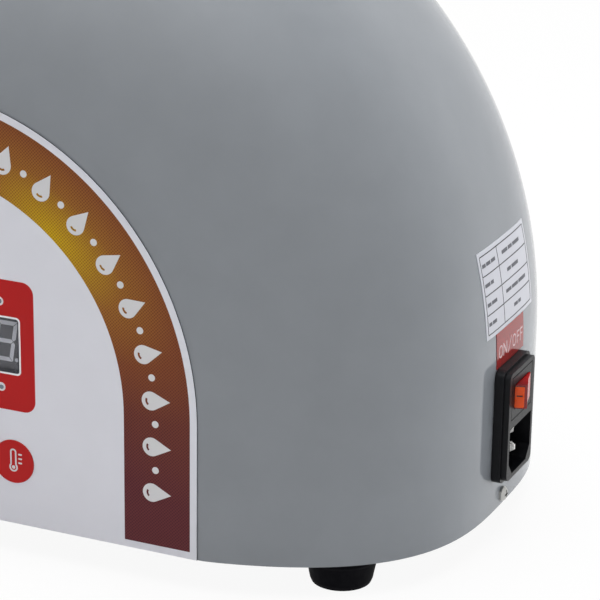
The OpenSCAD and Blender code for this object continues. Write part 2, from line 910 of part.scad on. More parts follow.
lay_r = 5;
output_r = 10;
front_bearing_x = socket_face_x + 32;
module gearcase_bearings() {
    color("silver")
        placed() {
            tube_x(case_left_x - 4, case_left_x + case_wall, 20, output_r + 0.05);
            tube_x(front_bearing_x, front_bearing_x + 14, 18, output_r + 0.05);
            tube_x(case_left_x, case_left_x + case_wall, 9.5, lay_r + 0.03, lay_z);
            tube_x(case_right_x - case_wall + 1, case_right_x, 9.5, lay_r + 0.03, lay_z);
        }
}

module gearcase_screws() {
    color("silver")
        placed()
            at_case_bolts(case_left_x)
                pan_screw(4, 3, 2, 50);
}

module gearcase_bracket() {
    color([0.3, 0.31, 0.33])
        placed()
            difference() {
                union() {
                    block([case_split_x - 8, -40, pan_top], [case_split_x - 4, 40, lay_z]);
                    block([case_split_x + 4, -40, pan_top], [case_split_x + 8, 40, lay_z]);
                    block([case_split_x - 24, -48, pan_top], [case_split_x + 24, 48, pan_top + 4]);
                }
                case_solid(case_r, case_left_x - 5, case_right_x + 5);
                at_case_bolts(case_left_x + 90)
                    cylinder(h = 120, r = 6.3, $fn = 32);
            }
}

// First wheel, with the second pinion on the same shaft
module layshaft() {
    color([0.7, 0.7, 0.72])
        placed() {
            rod_x(case_left_x + 0.5, case_right_x - 0.5, lay_r - 0.02, lay_z);
            gear(wheel_teeth, case_split_x + 8, case_right_x - 6, lay_z, 90 + 180 / wheel_teeth);
            gear(pinion_teeth, case_left_x + 7, case_split_x + 7, lay_z, 90);
        }
}

module output_wheel() {
    color([0.7, 0.7, 0.72])
        placed()
            difference() {
                gear(wheel_teeth, case_left_x + 8, case_split_x + 1, press_z, 90 + 180 / wheel_teeth);
                rod_x(case_left_x, case_split_x + 5, output_r, press_z);
            }
}

drive_x = socket_face_x + 32;
module output_shaft() {
    color([0.55, 0.55, 0.57])
        placed()
            difference() {
                union() {
                    rod_x(drive_x - 8, case_split_x + 3, output_r);
                    rod_x(case_left_x + case_wall + 0.5, case_left_x + 8, output_r + 4);
                }
                // square socket for the pressing screw
                translate([drive_x, 0, press_z])
                    cube([24, 11, 11], center = true);
            }
}

// ---------- press head ----------

spigot_r = 22;
module head_socket() {
    color([0.72, 0.73, 0.74])
        placed()
            difference() {
                union() {
                    rod_x(socket_face_x, case_left_x, socket_r);
                    rod_x(case_left_x - 8, case_left_x, 42);
                    // boss for the locking screw
                    rod_y(-socket_r - 6, 0, 9, lock_x, press_z);
                }
                rod_x(socket_face_x - 1, socket_face_x + 30, spigot_r + 0.05);
                rod_x(socket_face_x + 20, front_bearing_x + 14, 18);
                rod_x(socket_face_x + 20, case_left_x - 3, output_r + 2);
                rod_x(case_left_x - 5, case_left_x + 1, 20.4);
                rod_y(-socket_r - 10, 0, 4.1, lock_x, press_z, 32);
            }
}

module head_collar() {
    color([0.75, 0.76, 0.77])
        placed()
            difference() {
                rod_x(collar_x, -end_x + 60, socket_r + 12);
                rod_x(collar_x - 1, -end_x + 61, socket_r + gap);
                housing_form(0, shell_z - 1);
                rod_x(collar_x - 1, -end_x + 20, 3.2, conduit_z, conduit_y, 32);
            }
}

lock_x = socket_face_x + 13;
module lock_knob() {
    lobes = 6;
    knob_r = 13;
    knob_y = -socket_r - 14;
    color([0.08, 0.08, 0.09])
        placed()
            difference() {
                rod_y(knob_y - 18, knob_y, knob_r, lock_x, press_z);
                for (i = [0 : lobes - 1])
                    rod_y(knob_y - 19, knob_y + 1, 4,
                        lock_x + (knob_r + 1.5) * cos(60 * i), press_z + (knob_r + 1.5) * sin(60 * i), 32);
            }
    color("silver")
        placed() {
            rod_y(knob_y, -spigot_r - 0.1, 4, lock_x, press_z, 32);
            rod_y(knob_y, knob_y + 4, 7, lock_x, press_z, 48);
        }
}

neck_r = 23;
module press_barrel() {
    slot_pitch = 2.6;
    color([0.78, 0.79, 0.8])
        placed()
            difference() {
                union() {
                    rod_x(socket_face_x - eps, socket_face_x + 29, spigot_r);
                    rod_x(socket_face_x - 6, socket_face_x, socket_r - 2);
                    rod_x(barrel_end_x + 12, socket_face_x, barrel_r);
                    rod_x(barrel_end_x, socket_face_x, neck_r);
                    translate([mouth_x, 0, press_z])
                        cylinder(h = mouth_top_z - press_z, r = 18);
                }
                rod_x(barrel_end_x - 1, socket_face_x + 30, barrel_bore_r);
                // feed mouth
                translate([mouth_x, 0, press_z])
                    cylinder(h = 60, r = 13);
                // oil slots through the lower wall
                for (i = [-3 : 3])
                    translate([slots_x + slot_pitch * i, 0, press_z - 22])
                        cube([1, 24, 20], center = true);
                // hollow for the tip of the locking screw
                rod_y(-spigot_r - 1, -spigot_r + 1, 4.6, lock_x, press_z, 32);
            }
}

// A helical flight round a core, with a square drive end and a cone at the tip
module press_screw() {
    core_r = 9.6;
    flight_r = 12;
    flight_len = socket_face_x - 4 - (barrel_end_x + 2);
    turns = flight_len / screw_pitch;
    color([0.8, 0.8, 0.82])
        placed() {
            translate([barrel_end_x + 2, 0, press_z])
                rotate([0, 90, 0])
                    linear_extrude(flight_len, twist = -360 * turns, slices = ceil(turns * 12))
                        translate([screw_r - flight_r, 0])
                            circle(r = flight_r, $fn = 16);
            rod_x(socket_face_x - 4, socket_face_x + 20, core_r);
            translate([socket_face_x + 25.5, 0, press_z])
                cube([13, 10.9, 10.9], center = true);
        }
}

module barrel_cap() {
    color([0.7, 0.71, 0.72])
        placed()
            difference() {
                union() {
                    rod_x(cap_end_x, barrel_end_x + 10, 30);
                    rod_x(cap_end_x - 4, cap_end_x, 20);
                }
                rod_x(barrel_end_x - 0.5, barrel_end_x + 12, neck_r + 0.05);
                rod_x(cap_end_x - 5, barrel_end_x, 12.05);
                // grip flutes
                for (turn = [0 : 30 : 330])
                    translate([0, 0, press_z])
                        rotate([turn, 0, 0])
                            rod_x(cap_end_x - 1, barrel_end_x + 5, 3, 31.2, 0, 32);
            }
}

module cake_nozzle() {
    color([0.62, 0.63, 0.64])
        placed()
            difference() {
                union() {
                    rod_x(nozzle_end_x + 7, barrel_end_x - 1, 12);
                    // hexagon for a spanner
                    translate([nozzle_end_x, 0, press_z])
                        rotate([0, 90, 0])
                            cylinder(h = 7.5, r = 15, $fn = 6);
                }
                rod_x(nozzle_end_x - 1, barrel_end_x, 6.5);
            }
}

band_half = 10;
module heater_band() {
    color([0.55, 0.5, 0.42])
        placed()
            difference() {
                union() {
                    rod_x(heater_x - band_half, heater_x + band_half, barrel_r + 4);
                    // terminal block behind
                    block([heater_x - 7, barrel_r + 2, press_z - 7],
                        [heater_x + 7, conduit_y + 7, press_z + 7]);
                }
                rod_x(heater_x - band_half - 1, heater_x + band_half + 1, barrel_r);
                rod_x(heater_x - 1, heater_x + 20, 3.05, conduit_z, conduit_y, 32);
            }
}

conduit_y = 39;
conduit_z = press_z;
module heater_conduit() {
    color("silver")
        placed()
            rod_x(heater_x, -end_x + 44, 3, conduit_z, conduit_y, 32);
}

// Perforated guard over the hot band, open below
module heater_guard() {
    guard_r = barrel_r + 9;
    guard_half = band_half + 1.2;
    color([0.75, 0.76, 0.77])
        placed()
            difference() {
                union() {
                    tube_x(heater_x - guard_half, heater_x + guard_half, guard_r, guard_r - 1.2);
                    for (side = [-1, 1])
                        tube_x(heater_x + side * (guard_half - 0.6) - 0.6,
                            heater_x + side * (guard_half - 0.6) + 0.6, guard_r, barrel_r);
                }
                block([heater_x - 30, -60, press_z - 60], [heater_x + 30, 60, press_z - 18]);
                block([heater_x - 30, barrel_r + 0.5, press_z - 8], [heater_x + 30, 60, press_z + 8]);
                for (a = [-30, -60, -90, -120, -150, -180], x = [-6, 0, 6])
                    translate([heater_x + x, 0, press_z])
                        rotate([a + 75, 0, 0])
                            translate([0, 0, guard_r])
                                cylinder(h = 8, r = 1.6, center = true, $fn = 24);
            }
}

// ---------- hopper ----------

mouth_top_z = press_z + barrel_r + 20;
spout_r = 12.6;
hopper_cone_z = mouth_top_z + 42;
hopper_rim_z = hopper_cone_z + 26;
sheet = 1.5;
module hopper() {
    color([0.8, 0.81, 0.82])
        placed()
            translate([mouth_x, 0, 0])
                rotate_extrude()
                    polygon([[spout_r - sheet, mouth_top_z - 14], [spout_r, mouth_top_z - 14],
                        [spout_r, mouth_top_z], [20, mouth_top_z], [20, mouth_top_z + 4],
                        [hopper_r, hopper_cone_z], [hopper_r, hopper_rim_z - 1.5],
                        [hopper_r + 1.5, hopper_rim_z - 1.5], [hopper_r + 1.5, hopper_rim_z],
                        [hopper_r - sheet, hopper_rim_z], [hopper_r - sheet, hopper_cone_z + 0.5],
                        [spout_r - sheet + 2, mouth_top_z + 2], [spout_r - sheet, mouth_top_z - 1]]);
}

pusher_r = 9;
lid_z = hopper_rim_z;
module hopper_lid() {
    color([0.82, 0.84, 0.86])
        placed()
            translate([mouth_x, 0, 0])
                rotate_extrude()
                    polygon([[pusher_r + 0.5, lid_z], [hopper_r - sheet - 3.5, lid_z],
                        [hopper_r - sheet - 3.5, lid_z - 4], [hopper_r - sheet - 0.5, lid_z - 4],
                        [hopper_r - sheet - 0.5, lid_z], [hopper_r + 2, lid_z],
                        [hopper_r + 2, lid_z + 2], [pusher_r + 4, lid_z + 3.5],
                        [pusher_r + 4, lid_z + 8], [pusher_r + 0.5, lid_z + 8]]);
}

module pusher() {
    low = mouth_top_z - 2;
    color([0.88, 0.86, 0.8])
        placed()
            translate([mouth_x, 0, 0])
                rotate_extrude()
                    polygon([[0, low], [pusher_r - 1, low], [pusher_r, low + 1],
                        [pusher_r, lid_z + 8], [pusher_r + 7, lid_z + 8],
                        [pusher_r + 8, lid_z + 10], [pusher_r + 8, lid_z + 13],
                        [pusher_r + 5, lid_z + 16], [0, lid_z + 17]]);
}

// ---------- oil side ----------

guide_top = press_z - barrel_r + 6;
guide_low = cup_h + 12;
module oil_guide() {
    half_x = 12;
    half_y = 20;
    t = 1.2;
    strap_x = 10;
    color([0.78, 0.79, 0.8])
        placed() {
            difference() {
                union() {
                    hull() {
                        block([slots_x - half_x, -half_y, guide_top - 16],
                            [slots_x + half_x, half_y, guide_top]);
                        translate([slots_x, 0, guide_low])
                            cylinder(h = 2, r = 9, $fn = 32);
                    }
                    // two straps that hold the guide under the barrel
                    for (side = [-1, 1])
                        tube_x(slots_x + side * strap_x - 1.5, slots_x + side * strap_x + 1.5,
                            barrel_r + 1.5, barrel_r);
                }
                hull() {
                    block([slots_x - half_x + t, -half_y + t, guide_top - 16],
                        [slots_x + half_x - t, half_y - t, guide_top + 0.1]);
                    translate([slots_x, 0, guide_low - 0.1])
                        cylinder(h = 1, r = 9 - t, $fn = 32);
                }
                rod_x(slots_x - 30, slots_x + 30, barrel_r);
            }
        }
}

module strainer() {
    rim_z = cup_h;
    bowl_r = cup_r - 4;
    color([0.8, 0.81, 0.82])
        placed()
            translate([cup_x, 0, 0])
                difference() {
                    rotate_extrude()
                        polygon([[0, rim_z - 18], [bowl_r - 8, rim_z - 18], [bowl_r, rim_z - 8],
                            [bowl_r, rim_z], [cup_r + 1.5, rim_z], [cup_r + 1.5, rim_z + 1],
                            [bowl_r - 1, rim_z + 1], [bowl_r - 1, rim_z - 7.6],
                            [bowl_r - 8.4, rim_z - 17], [0, rim_z - 17]]);
                    // perforated floor
                    for (ring = [1 : 3], i = [0 : 6 * ring - 1])
                        rotate(i * 60 / ring)
                            translate([ring * 8, 0, rim_z - 17.5])
                                cylinder(h = 4, r = 1.5, center = true, $fn = 16);
                }
}

module oil_cup() {
    t = 1.5;
    color([0.8, 0.81, 0.82])
        placed()
            translate([cup_x, 0, 0])
                rotate_extrude()
                    polygon([[0, 0], [cup_r - 6, 0], [cup_r - 4, 1], [cup_r, cup_h - 2], [cup_r, cup_h],
                        [cup_r - t, cup_h], [cup_r - t, cup_h - 2], [cup_r - 4 - t, 2.5], [0, 2]]);
}

module residue_cup() {
    t = 1.5;
    h = 62;
    color([0.8, 0.81, 0.82])
        placed()
            translate([residue_x, 0, 0])
                rotate_extrude()
                    polygon([[0, 0], [residue_r - 5, 0], [residue_r - 3, 1], [residue_r - 1, h - 1.5],
                        [residue_r, h - 1.5], [residue_r, h], [residue_r - 1 - t, h],
                        [residue_r - 3 - t, 2.5], [0, 2]]);
}

housing_shell();
base_pan();
rubber_feet();
foot_screws();
shell_screws();
control_overlay();
display_lens();
display_module();
control_board();
board_standoffs();
indicator_leds();
tact_switches();
key_left();
key_middle();
key_right();
rating_plate();
switch_strip();
inlet_body();
inlet_pins();
rocker_switch();
fan_guard();
fan_frame();
fan_rotor();
fan_screws();
power_board();
motor_stator();
motor_bearings();
motor_rotor();
motor_pinion();
motor_bracket();
gearcase_body();
gearcase_cover();
gearcase_bearings();
gearcase_screws();
gearcase_bracket();
layshaft();
output_wheel();
output_shaft();
head_socket();
head_collar();
lock_knob();
press_barrel();
press_screw();
barrel_cap();
cake_nozzle();
heater_band();
heater_guard();
heater_conduit();
hopper();
hopper_lid();
pusher();
oil_guide();
strainer();
oil_cup();
residue_cup();
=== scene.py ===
"""Looks of the electric oil press: camera, finishes, printed panel, labels, studio light."""
from math import acos, ceil, cos, pi, radians, sin, sqrt

import bmesh
import bpy
from mathutils import Matrix, Vector


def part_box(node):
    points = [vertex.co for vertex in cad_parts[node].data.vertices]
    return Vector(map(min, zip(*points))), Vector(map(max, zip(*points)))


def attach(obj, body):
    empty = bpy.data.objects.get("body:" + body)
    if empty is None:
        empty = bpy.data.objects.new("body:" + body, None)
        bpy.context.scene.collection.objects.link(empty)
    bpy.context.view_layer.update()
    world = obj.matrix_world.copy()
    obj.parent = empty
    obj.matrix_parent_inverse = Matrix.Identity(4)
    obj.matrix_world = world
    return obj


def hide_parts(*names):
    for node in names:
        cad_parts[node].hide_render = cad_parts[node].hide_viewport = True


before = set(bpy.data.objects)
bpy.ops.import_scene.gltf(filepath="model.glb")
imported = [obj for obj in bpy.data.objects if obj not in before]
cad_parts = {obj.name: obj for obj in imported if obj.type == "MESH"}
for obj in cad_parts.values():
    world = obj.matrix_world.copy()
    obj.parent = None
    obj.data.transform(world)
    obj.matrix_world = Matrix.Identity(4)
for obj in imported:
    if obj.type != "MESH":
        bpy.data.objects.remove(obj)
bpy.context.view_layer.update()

MM = 0.001

# ---------- driving sizes in millimetres, as the CAD model has them ----------

BODY_LEN = 430.0
BODY_DEPTH = 236.0
FACE_DEPTH = 220.0
SKIRT_H = 63.0
EDGE_EXPONENT = 3.1
WALL = 2.5
FOOT_H = 14.0
ARCH_R = 124.0
ARCH_Z = 57.7
OVERLAY_T = 0.5
WINDOW_W, WINDOW_H, WINDOW_Z = 88.0, 25.4, 78.4
KEY_D, KEY_PITCH, KEY_Z, KEY_PROUD = 18.8, 40.0, 27.8, 0.35
INLET_FACE = BODY_LEN / 2 + 6.5
ROCKER_CZ, ROCKER_R, ROCKER_X = FOOT_H + 52.15, 8.7, INLET_FACE - 1.6

END_X = BODY_LEN / 2
FACE_Y = FACE_DEPTH / 2
SHELL_Z = FOOT_H
DOME_Z = FOOT_H + SKIRT_H
ARCH_CZ = SHELL_Z + ARCH_Z
WINDOW_CZ = SHELL_Z + WINDOW_Z
KEY_CZ = SHELL_Z + KEY_Z
PRINT_Y = -FACE_Y - OVERLAY_T

# The housing's middle in the row frame
shell_low, shell_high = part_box("housing_shell")
BODY_X = (shell_low[0] + shell_high[0]) / 2 / MM
BODY_Y = (shell_low[1] + shell_high[1]) / 2 / MM
inlet_low, inlet_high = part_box("inlet_body")
INLET_Y = (inlet_low[1] + inlet_high[1]) / 2 / MM - BODY_Y
INLET_CZ = (inlet_low[2] + inlet_high[2]) / 2 / MM
INLET_W, INLET_H = (inlet_high[1] - inlet_low[1]) / MM, (inlet_high[2] - inlet_low[2]) / MM


def placed(x, y, z):
    """A point given in millimetres from the housing's middle, in the row frame."""
    return Vector(((x + BODY_X) * MM, (y + BODY_Y) * MM, z * MM))


# ---------- camera ----------

CAMERA_AT = placed(534.40, -939.29, 445.40)
CAMERA_YAW = radians(23.864)
CAMERA_PITCH = radians(19.083)
CAMERA_ROLL = radians(0.8705)
CAMERA_LENS = 151.08


def make_camera():
    """The camera at the photograph's place, aimed by yaw, pitch and roll."""
    forward = Vector((-sin(CAMERA_YAW) * cos(CAMERA_PITCH), cos(CAMERA_YAW) * cos(CAMERA_PITCH),
                      -sin(CAMERA_PITCH)))
    level = Vector((cos(CAMERA_YAW), sin(CAMERA_YAW), 0))
    up = level.cross(forward)
    right = level * cos(CAMERA_ROLL) + up * sin(CAMERA_ROLL)
    top = up * cos(CAMERA_ROLL) - level * sin(CAMERA_ROLL)
    data = bpy.data.cameras.new("camera")
    data.lens = CAMERA_LENS
    data.sensor_width = 36.0
    data.clip_start = 0.05
    data.clip_end = 50.0
    camera = bpy.data.objects.new("camera", data)
    turn = Matrix((right, top, -forward)).transposed().to_4x4()
    camera.matrix_world = Matrix.Translation(CAMERA_AT) @ turn
    bpy.context.scene.collection.objects.link(camera)
    bpy.context.scene.camera = camera


make_camera()

# ---------- materials ----------


def srgb(r, g, b):
    """Linear colour of 8-bit display values."""
    def line(c):
        c /= 255
        return c / 12.92 if c <= 0.04045 else ((c + 0.055) / 1.055) ** 2.4
    return (line(r), line(g), line(b), 1.0)


class Look:
    """A material's node tree with short calls for what most of them need."""

    def __init__(self, name, color, roughness, **sockets):
        self.material = bpy.data.materials.new(name)
        self.material.use_nodes = True
        self.nodes = self.material.node_tree.nodes
        self.links = self.material.node_tree.links
        self.shader = self.nodes["Principled BSDF"]
        self.shader.inputs["Base Color"].default_value = color
        self.shader.inputs["Roughness"].default_value = roughness
        for key, value in sockets.items():
            self.shader.inputs[key.replace("_", " ")].default_value = value
        self.color = color
        self.coords = self.nodes.new("ShaderNodeTexCoord").outputs["Object"]
        self.height = None

    def noise(self, scale, detail=2.0, rough=0.5, stretch=None):
        node = self.nodes.new("ShaderNodeTexNoise")
        node.inputs["Scale"].default_value = scale
        node.inputs["Detail"].default_value = detail
        node.inputs["Roughness"].default_value = rough
        source = self.coords
        if stretch:
            mapping = self.nodes.new("ShaderNodeMapping")
            mapping.inputs["Scale"].default_value = stretch
            self.links.new(source, mapping.inputs["Vector"])
            source = mapping.outputs["Vector"]
        self.links.new(source, node.inputs["Vector"])
        return node.outputs["Fac"]

    def spread(self, value, low, high, from_low=0.3, from_high=0.7):
        node = self.nodes.new("ShaderNodeMapRange")
        node.inputs["From Min"].default_value = from_low
        node.inputs["From Max"].default_value = from_high
        node.inputs["To Min"].default_value = low
        node.inputs["To Max"].default_value = high
        self.links.new(value, node.inputs["Value"])
        return node.outputs["Result"]

    def math(self, kind, a, b=None, c=None):
        node = self.nodes.new("ShaderNodeMath")
        node.operation = kind
        for socket, value in zip(node.inputs, (a, b, c)):
            if value is None:
                continue
            if isinstance(value, (int, float)):
                socket.default_value = value
            else:
                self.links.new(value, socket)
        return node.outputs["Value"]

    def blend(self, factor, a, b):
        """Colour a where factor is 0 and b where it is 1."""
        node = self.nodes.new("ShaderNodeMix")
        node.data_type = "RGBA"
        self.feed(factor, node.inputs["Factor"])
        self.feed(a, node.inputs[6])
        self.feed(b, node.inputs[7])
        return node.outputs[2]

    def feed(self, value, socket):
        if hasattr(value, "node"):
            self.links.new(value, socket)
        else:
            socket.default_value = value

    def tint(self, value, low, high):
        """Scales the base colour by low to high as value goes from 0.3 to 0.7."""
        factor = self.spread(value, 0, 1)
        dark = tuple(c * low for c in self.color[:3]) + (1,)
        light = tuple(c * high for c in self.color[:3]) + (1,)
        self.links.new(self.blend(factor, dark, light), self.shader.inputs["Base Color"])

    def rough(self, value, low, high):
        self.links.new(self.spread(value, low, high), self.shader.inputs["Roughness"])

    def bump(self, value, distance, strength=1.0):
        node = self.nodes.new("ShaderNodeBump")
        node.inputs["Strength"].default_value = strength
        node.inputs["Distance"].default_value = distance
        self.links.new(value, node.inputs["Height"])
        if self.height is not None:
            self.links.new(self.height, node.inputs["Normal"])
        self.height = node.outputs["Normal"]
        self.links.new(self.height, self.shader.inputs["Normal"])


def painted(name, color, roughness, peel=0.00002, **sockets):
    """Sprayed paint: an almost even colour with a slight orange peel, peel metres deep."""
    look = Look(name, color, roughness, **sockets)
    look.tint(look.noise(40, 3), 0.97, 1.03)
    look.rough(look.noise(260, 3), roughness * 0.85, roughness * 1.15)
    look.bump(look.noise(900, 2), peel)
    return look.material


def moulded(name, color, roughness, grain=0.00003, scale=1800, **sockets):
    """Moulded plastic or rubber with a fine grain, grain metres deep."""
    look = Look(name, color, roughness, **sockets)
    look.tint(look.noise(90, 3), 0.9, 1.12)
    look.rough(look.noise(400, 3), roughness - 0.06, roughness + 0.06)
    look.bump(look.noise(scale, 2), grain)
    return look.material


def metal(name, color, roughness, brush=None, streak=0.00001, scale=500, worn=0.06):
    """brush is the direction that the marks run along: X, Y, Z or none."""
    look = Look(name, color, roughness, Metallic=1.0)
    across = {"X": (0.04, 1, 1), "Y": (1, 0.04, 1), "Z": (1, 1, 0.04)}.get(brush, (1, 1, 1))
    marks = look.noise(scale * (3 if brush else 1), 4, 0.6, across)
    cloud = look.noise(30, 3)
    look.tint(cloud, 0.93, 1.05)
    look.rough(marks, roughness - worn, roughness + worn)
    look.bump(marks, streak)
    return look.material


def ringed(name, color, roughness, pitch=0.25, depth=0.000006):
    """Turned metal: fine rings across the X axis, pitch millimetres apart."""
    look = Look(name, color, roughness, Metallic=1.0)
    split = look.nodes.new("ShaderNodeSeparateXYZ")
    look.links.new(look.coords, split.inputs[0])
    lathe = look.math("SINE", look.math("MULTIPLY", split.outputs["X"], 2 * pi / (pitch * MM)))
    marks = look.noise(700, 3)
    look.tint(look.noise(35, 3), 0.94, 1.05)
    look.rough(marks, roughness - 0.05, roughness + 0.05)
    look.bump(lathe, depth)
    look.bump(marks, 0.00001)
    return look.material


SHELL_COLOR = srgb(142, 147, 153)

paint_gray = painted("shell_paint", SHELL_COLOR, 0.09, 0.000001)
dark_paint = painted("dark_paint", srgb(48, 50, 54), 0.5, 0.00003)
rubber = moulded("foot_rubber", srgb(5, 5, 9), 0.75, 0.00004, 1400, Specular_IOR_Level=0.07)
zinc = metal("zinc_screw", srgb(180, 180, 177), 0.32, None, 0.000012, 900)
slot_shade = moulded("slot_shade", srgb(22, 22, 24), 0.6)
nickel = moulded("nickel_pin", srgb(248, 247, 245), 0.36, 0.00001, 900, Metallic=0.45)
bearing_steel = metal("bearing_steel", srgb(190, 191, 193), 0.3, None)
gear_steel = metal("gear_steel", srgb(168, 169, 172), 0.36, "X", 0.00001, 700)
cast = metal("cast_aluminium", srgb(166, 168, 172), 0.5, None, 0.00006, 1500, 0.08)
stainless_turned = ringed("stainless_turned", srgb(176, 178, 181), 0.32)
stainless_sheet = metal("stainless_sheet", srgb(178, 180, 183), 0.3, "X", 0.000006, 600)
black_plastic = moulded("black_plastic", srgb(30, 30, 32), 0.45)
knob_plastic = moulded("knob_plastic", srgb(24, 24, 26), 0.38, 0.00004, 1200)
nylon = moulded("pusher_nylon", srgb(202, 199, 186), 0.42, 0.00002, 900, Subsurface_Weight=0.15,
                Subsurface_Radius=(0.002, 0.0016, 0.001))
board_green = moulded("circuit_board", srgb(24, 92, 52), 0.4, 0.00001, 1500)
motor_paint = painted("motor_steel", srgb(70, 72, 76), 0.45, 0.00002)
heater_metal = metal("heater_band", srgb(168, 158, 136), 0.45, "X", 0.00003, 500)


def inlet_plastic():
    """The inlet's black plastic, with a fine grain."""
    look = Look("inlet_black", srgb(9, 10, 14), 0.34, Specular_IOR_Level=0.2)
    look.tint(look.noise(120, 3), 0.9, 1.15)
    look.rough(look.noise(900, 3), 0.3, 0.42)
    look.bump(look.noise(2600, 2), 0.000025)
    return look.material


inlet_black = inlet_plastic()


def film(name, color, roughness=0.42, gloss=0.15):
    """Printed polyester: an even colour under a lightly textured clear face."""
    look = Look(name, color, roughness, Specular_IOR_Level=gloss)
    look.tint(look.noise(60, 2), 0.99, 1.01)
    look.rough(look.noise(700, 3), roughness * 0.9, roughness * 1.1)
    look.bump(look.noise(2600, 2), 0.000006 if roughness > 0.3 else 0.000001)
    return look.material


white_film = film("overlay_white", srgb(240, 241, 249))
red_film = film("overlay_red", srgb(194, 28, 28), 0.4)
label_film = film("label_white", srgb(206, 208, 217), 0.2, 0.4)
ink_black = film("ink_black", srgb(40, 40, 44), 0.5)
ink_gray = film("ink_gray", srgb(104, 105, 112), 0.5)
ink_white = film("ink_white", srgb(232, 232, 234), 0.5)
frame_white = film("frame_white", srgb(253, 253, 255), 0.4)
strip_ink = film("strip_ink", srgb(222, 194, 196), 0.5)
lamp_gray = moulded("lamp_gray", srgb(118, 130, 142), 0.3)
strip_film = film("strip_red", srgb(150, 18, 14), 0.09, 0.5)
block_gray = moulded("display_block", srgb(78, 78, 84), 0.5, 0.00001)
digit_gray = moulded("digit_gray", srgb(214, 215, 224), 0.45, 0.00001, 1800, Specular_IOR_Level=0.2)
film_edge = film("overlay_edge", srgb(66, 69, 76), 0.5)


def band_print():
    """The arch band: gold at its inner edge, brown to maroon at the feet, with fine dots."""
    look = Look("band_print", srgb(125, 62, 30), 0.42, Specular_IOR_Level=0.15)
    split = look.nodes.new("ShaderNodeSeparateXYZ")
    look.links.new(look.coords, split.inputs[0])
    gold_x, gold_z, fade, dot_pitch = 60.0, 70.0, 150, 1.4
    x = look.math("SUBTRACT", split.outputs["X"], BODY_X * MM)
    z = look.math("SUBTRACT", split.outputs["Z"], ARCH_CZ * MM)
    along = look.math("SUBTRACT", look.math("ABSOLUTE", x), gold_x * MM)
    rise = look.math("SUBTRACT", z, gold_z * MM)
    # the golden spots lie on the inner edge, so distances along the band count for less
    outward = look.math("MULTIPLY", look.math("MULTIPLY_ADD", along, 0.64,
                                              look.math("MULTIPLY", rise, 0.77)), 2.2)
    sideways = look.math("MULTIPLY_ADD", along, 0.77, look.math("MULTIPLY", rise, -0.64))
    distance = look.math("SQRT", look.math("ADD", look.math("MULTIPLY", outward, outward),
                                           look.math("MULTIPLY", sideways, sideways)))
    tone = look.spread(distance, 0.0, 1.0, 0.0, fade * MM)
    ramp = look.nodes.new("ShaderNodeValToRGB")
    stops = ((0, (218, 178, 14)), (0.25, (168, 110, 40)), (0.45, (142, 78, 40)),
             (0.65, (120, 60, 45)), (1, (106, 48, 50)))
    ramp.color_ramp.elements[0].position = stops[0][0]
    ramp.color_ramp.elements[0].color = srgb(*stops[0][1])
    ramp.color_ramp.elements[1].position = stops[-1][0]
    ramp.color_ramp.elements[1].color = srgb(*stops[-1][1])
    for place, color in stops[1:-1]:
        ramp.color_ramp.elements.new(place).color = srgb(*color)
    look.links.new(tone, ramp.inputs["Fac"])
    # fine halftone dots in rows at 45 degrees
    waves = []
    for sign in (1, -1):
        line = look.math("MULTIPLY_ADD", split.outputs["X"], sign, split.outputs["Z"])
        waves.append(look.math("SINE", look.math("MULTIPLY", line, 2 * pi / (dot_pitch * MM))))
    dots = look.spread(look.math("ADD", waves[0], waves[1]), 0, 1, 0.0, 0.6)
    print_dots = look.nodes.new("ShaderNodeMix")
    print_dots.data_type = "RGBA"
    print_dots.blend_type = "MULTIPLY"
    print_dots.inputs[7].default_value = (0.6, 0.5, 0.75, 1)
    look.links.new(dots, print_dots.inputs["Factor"])
    look.links.new(ramp.outputs["Color"], print_dots.inputs[6])
    look.links.new(print_dots.outputs[2], look.shader.inputs["Base Color"])
    look.bump(look.noise(2600, 2), 0.000006)
    return look.material


band_film = band_print()


def clear_lens():
    """Thin clear acrylic: the light goes straight through, with a gloss on top."""
    look = Look("lens_clear", srgb(150, 152, 158), 0.12)
    look.shader.inputs["Alpha"].default_value = 0.1
    look.bump(look.noise(300, 2), 0.000004)
    return look.material


lens_material = clear_lens()


def rocker_plastic():
    """Clear red plastic with painted shading: painted dark at the raised near end, painted brighter
    towards the sunk one.
    """
    look = Look("rocker_red", srgb(150, 14, 16), 0.2, Transmission_Weight=0.2, IOR=1.5)
    split = look.nodes.new("ShaderNodeSeparateXYZ")
    look.links.new(look.coords, split.inputs[0])
    start = (BODY_Y + INLET_Y) * MM
    along = look.spread(split.outputs["Y"], 0, 1, start - 7 * MM, start + 7 * MM)
    # painted light and shade: the base colour runs from dark red at the near end to bright red at
    # the sunk end
    look.links.new(look.blend(along, srgb(140, 2, 8), srgb(224, 16, 20)),
                   look.shader.inputs["Base Color"])
    look.rough(look.noise(500, 2), 0.16, 0.24)
    look.bump(look.noise(900, 2), 0.000004)
    return look.material


rocker_red = rocker_plastic()
# painted glow: an orange that stands for light shining through the clear rocker; there is no lamp
rocker_painted_glow_orange = moulded("rocker_painted_glow_orange", srgb(240, 86, 30), 0.3, 0.00001, Specular_IOR_Level=0.2)
# painted shade: a dark red for the line along the top edge of the rocker's painted glow
rocker_painted_shade_red = moulded("rocker_painted_shade_red", srgb(70, 8, 8), 0.3, 0.00001)

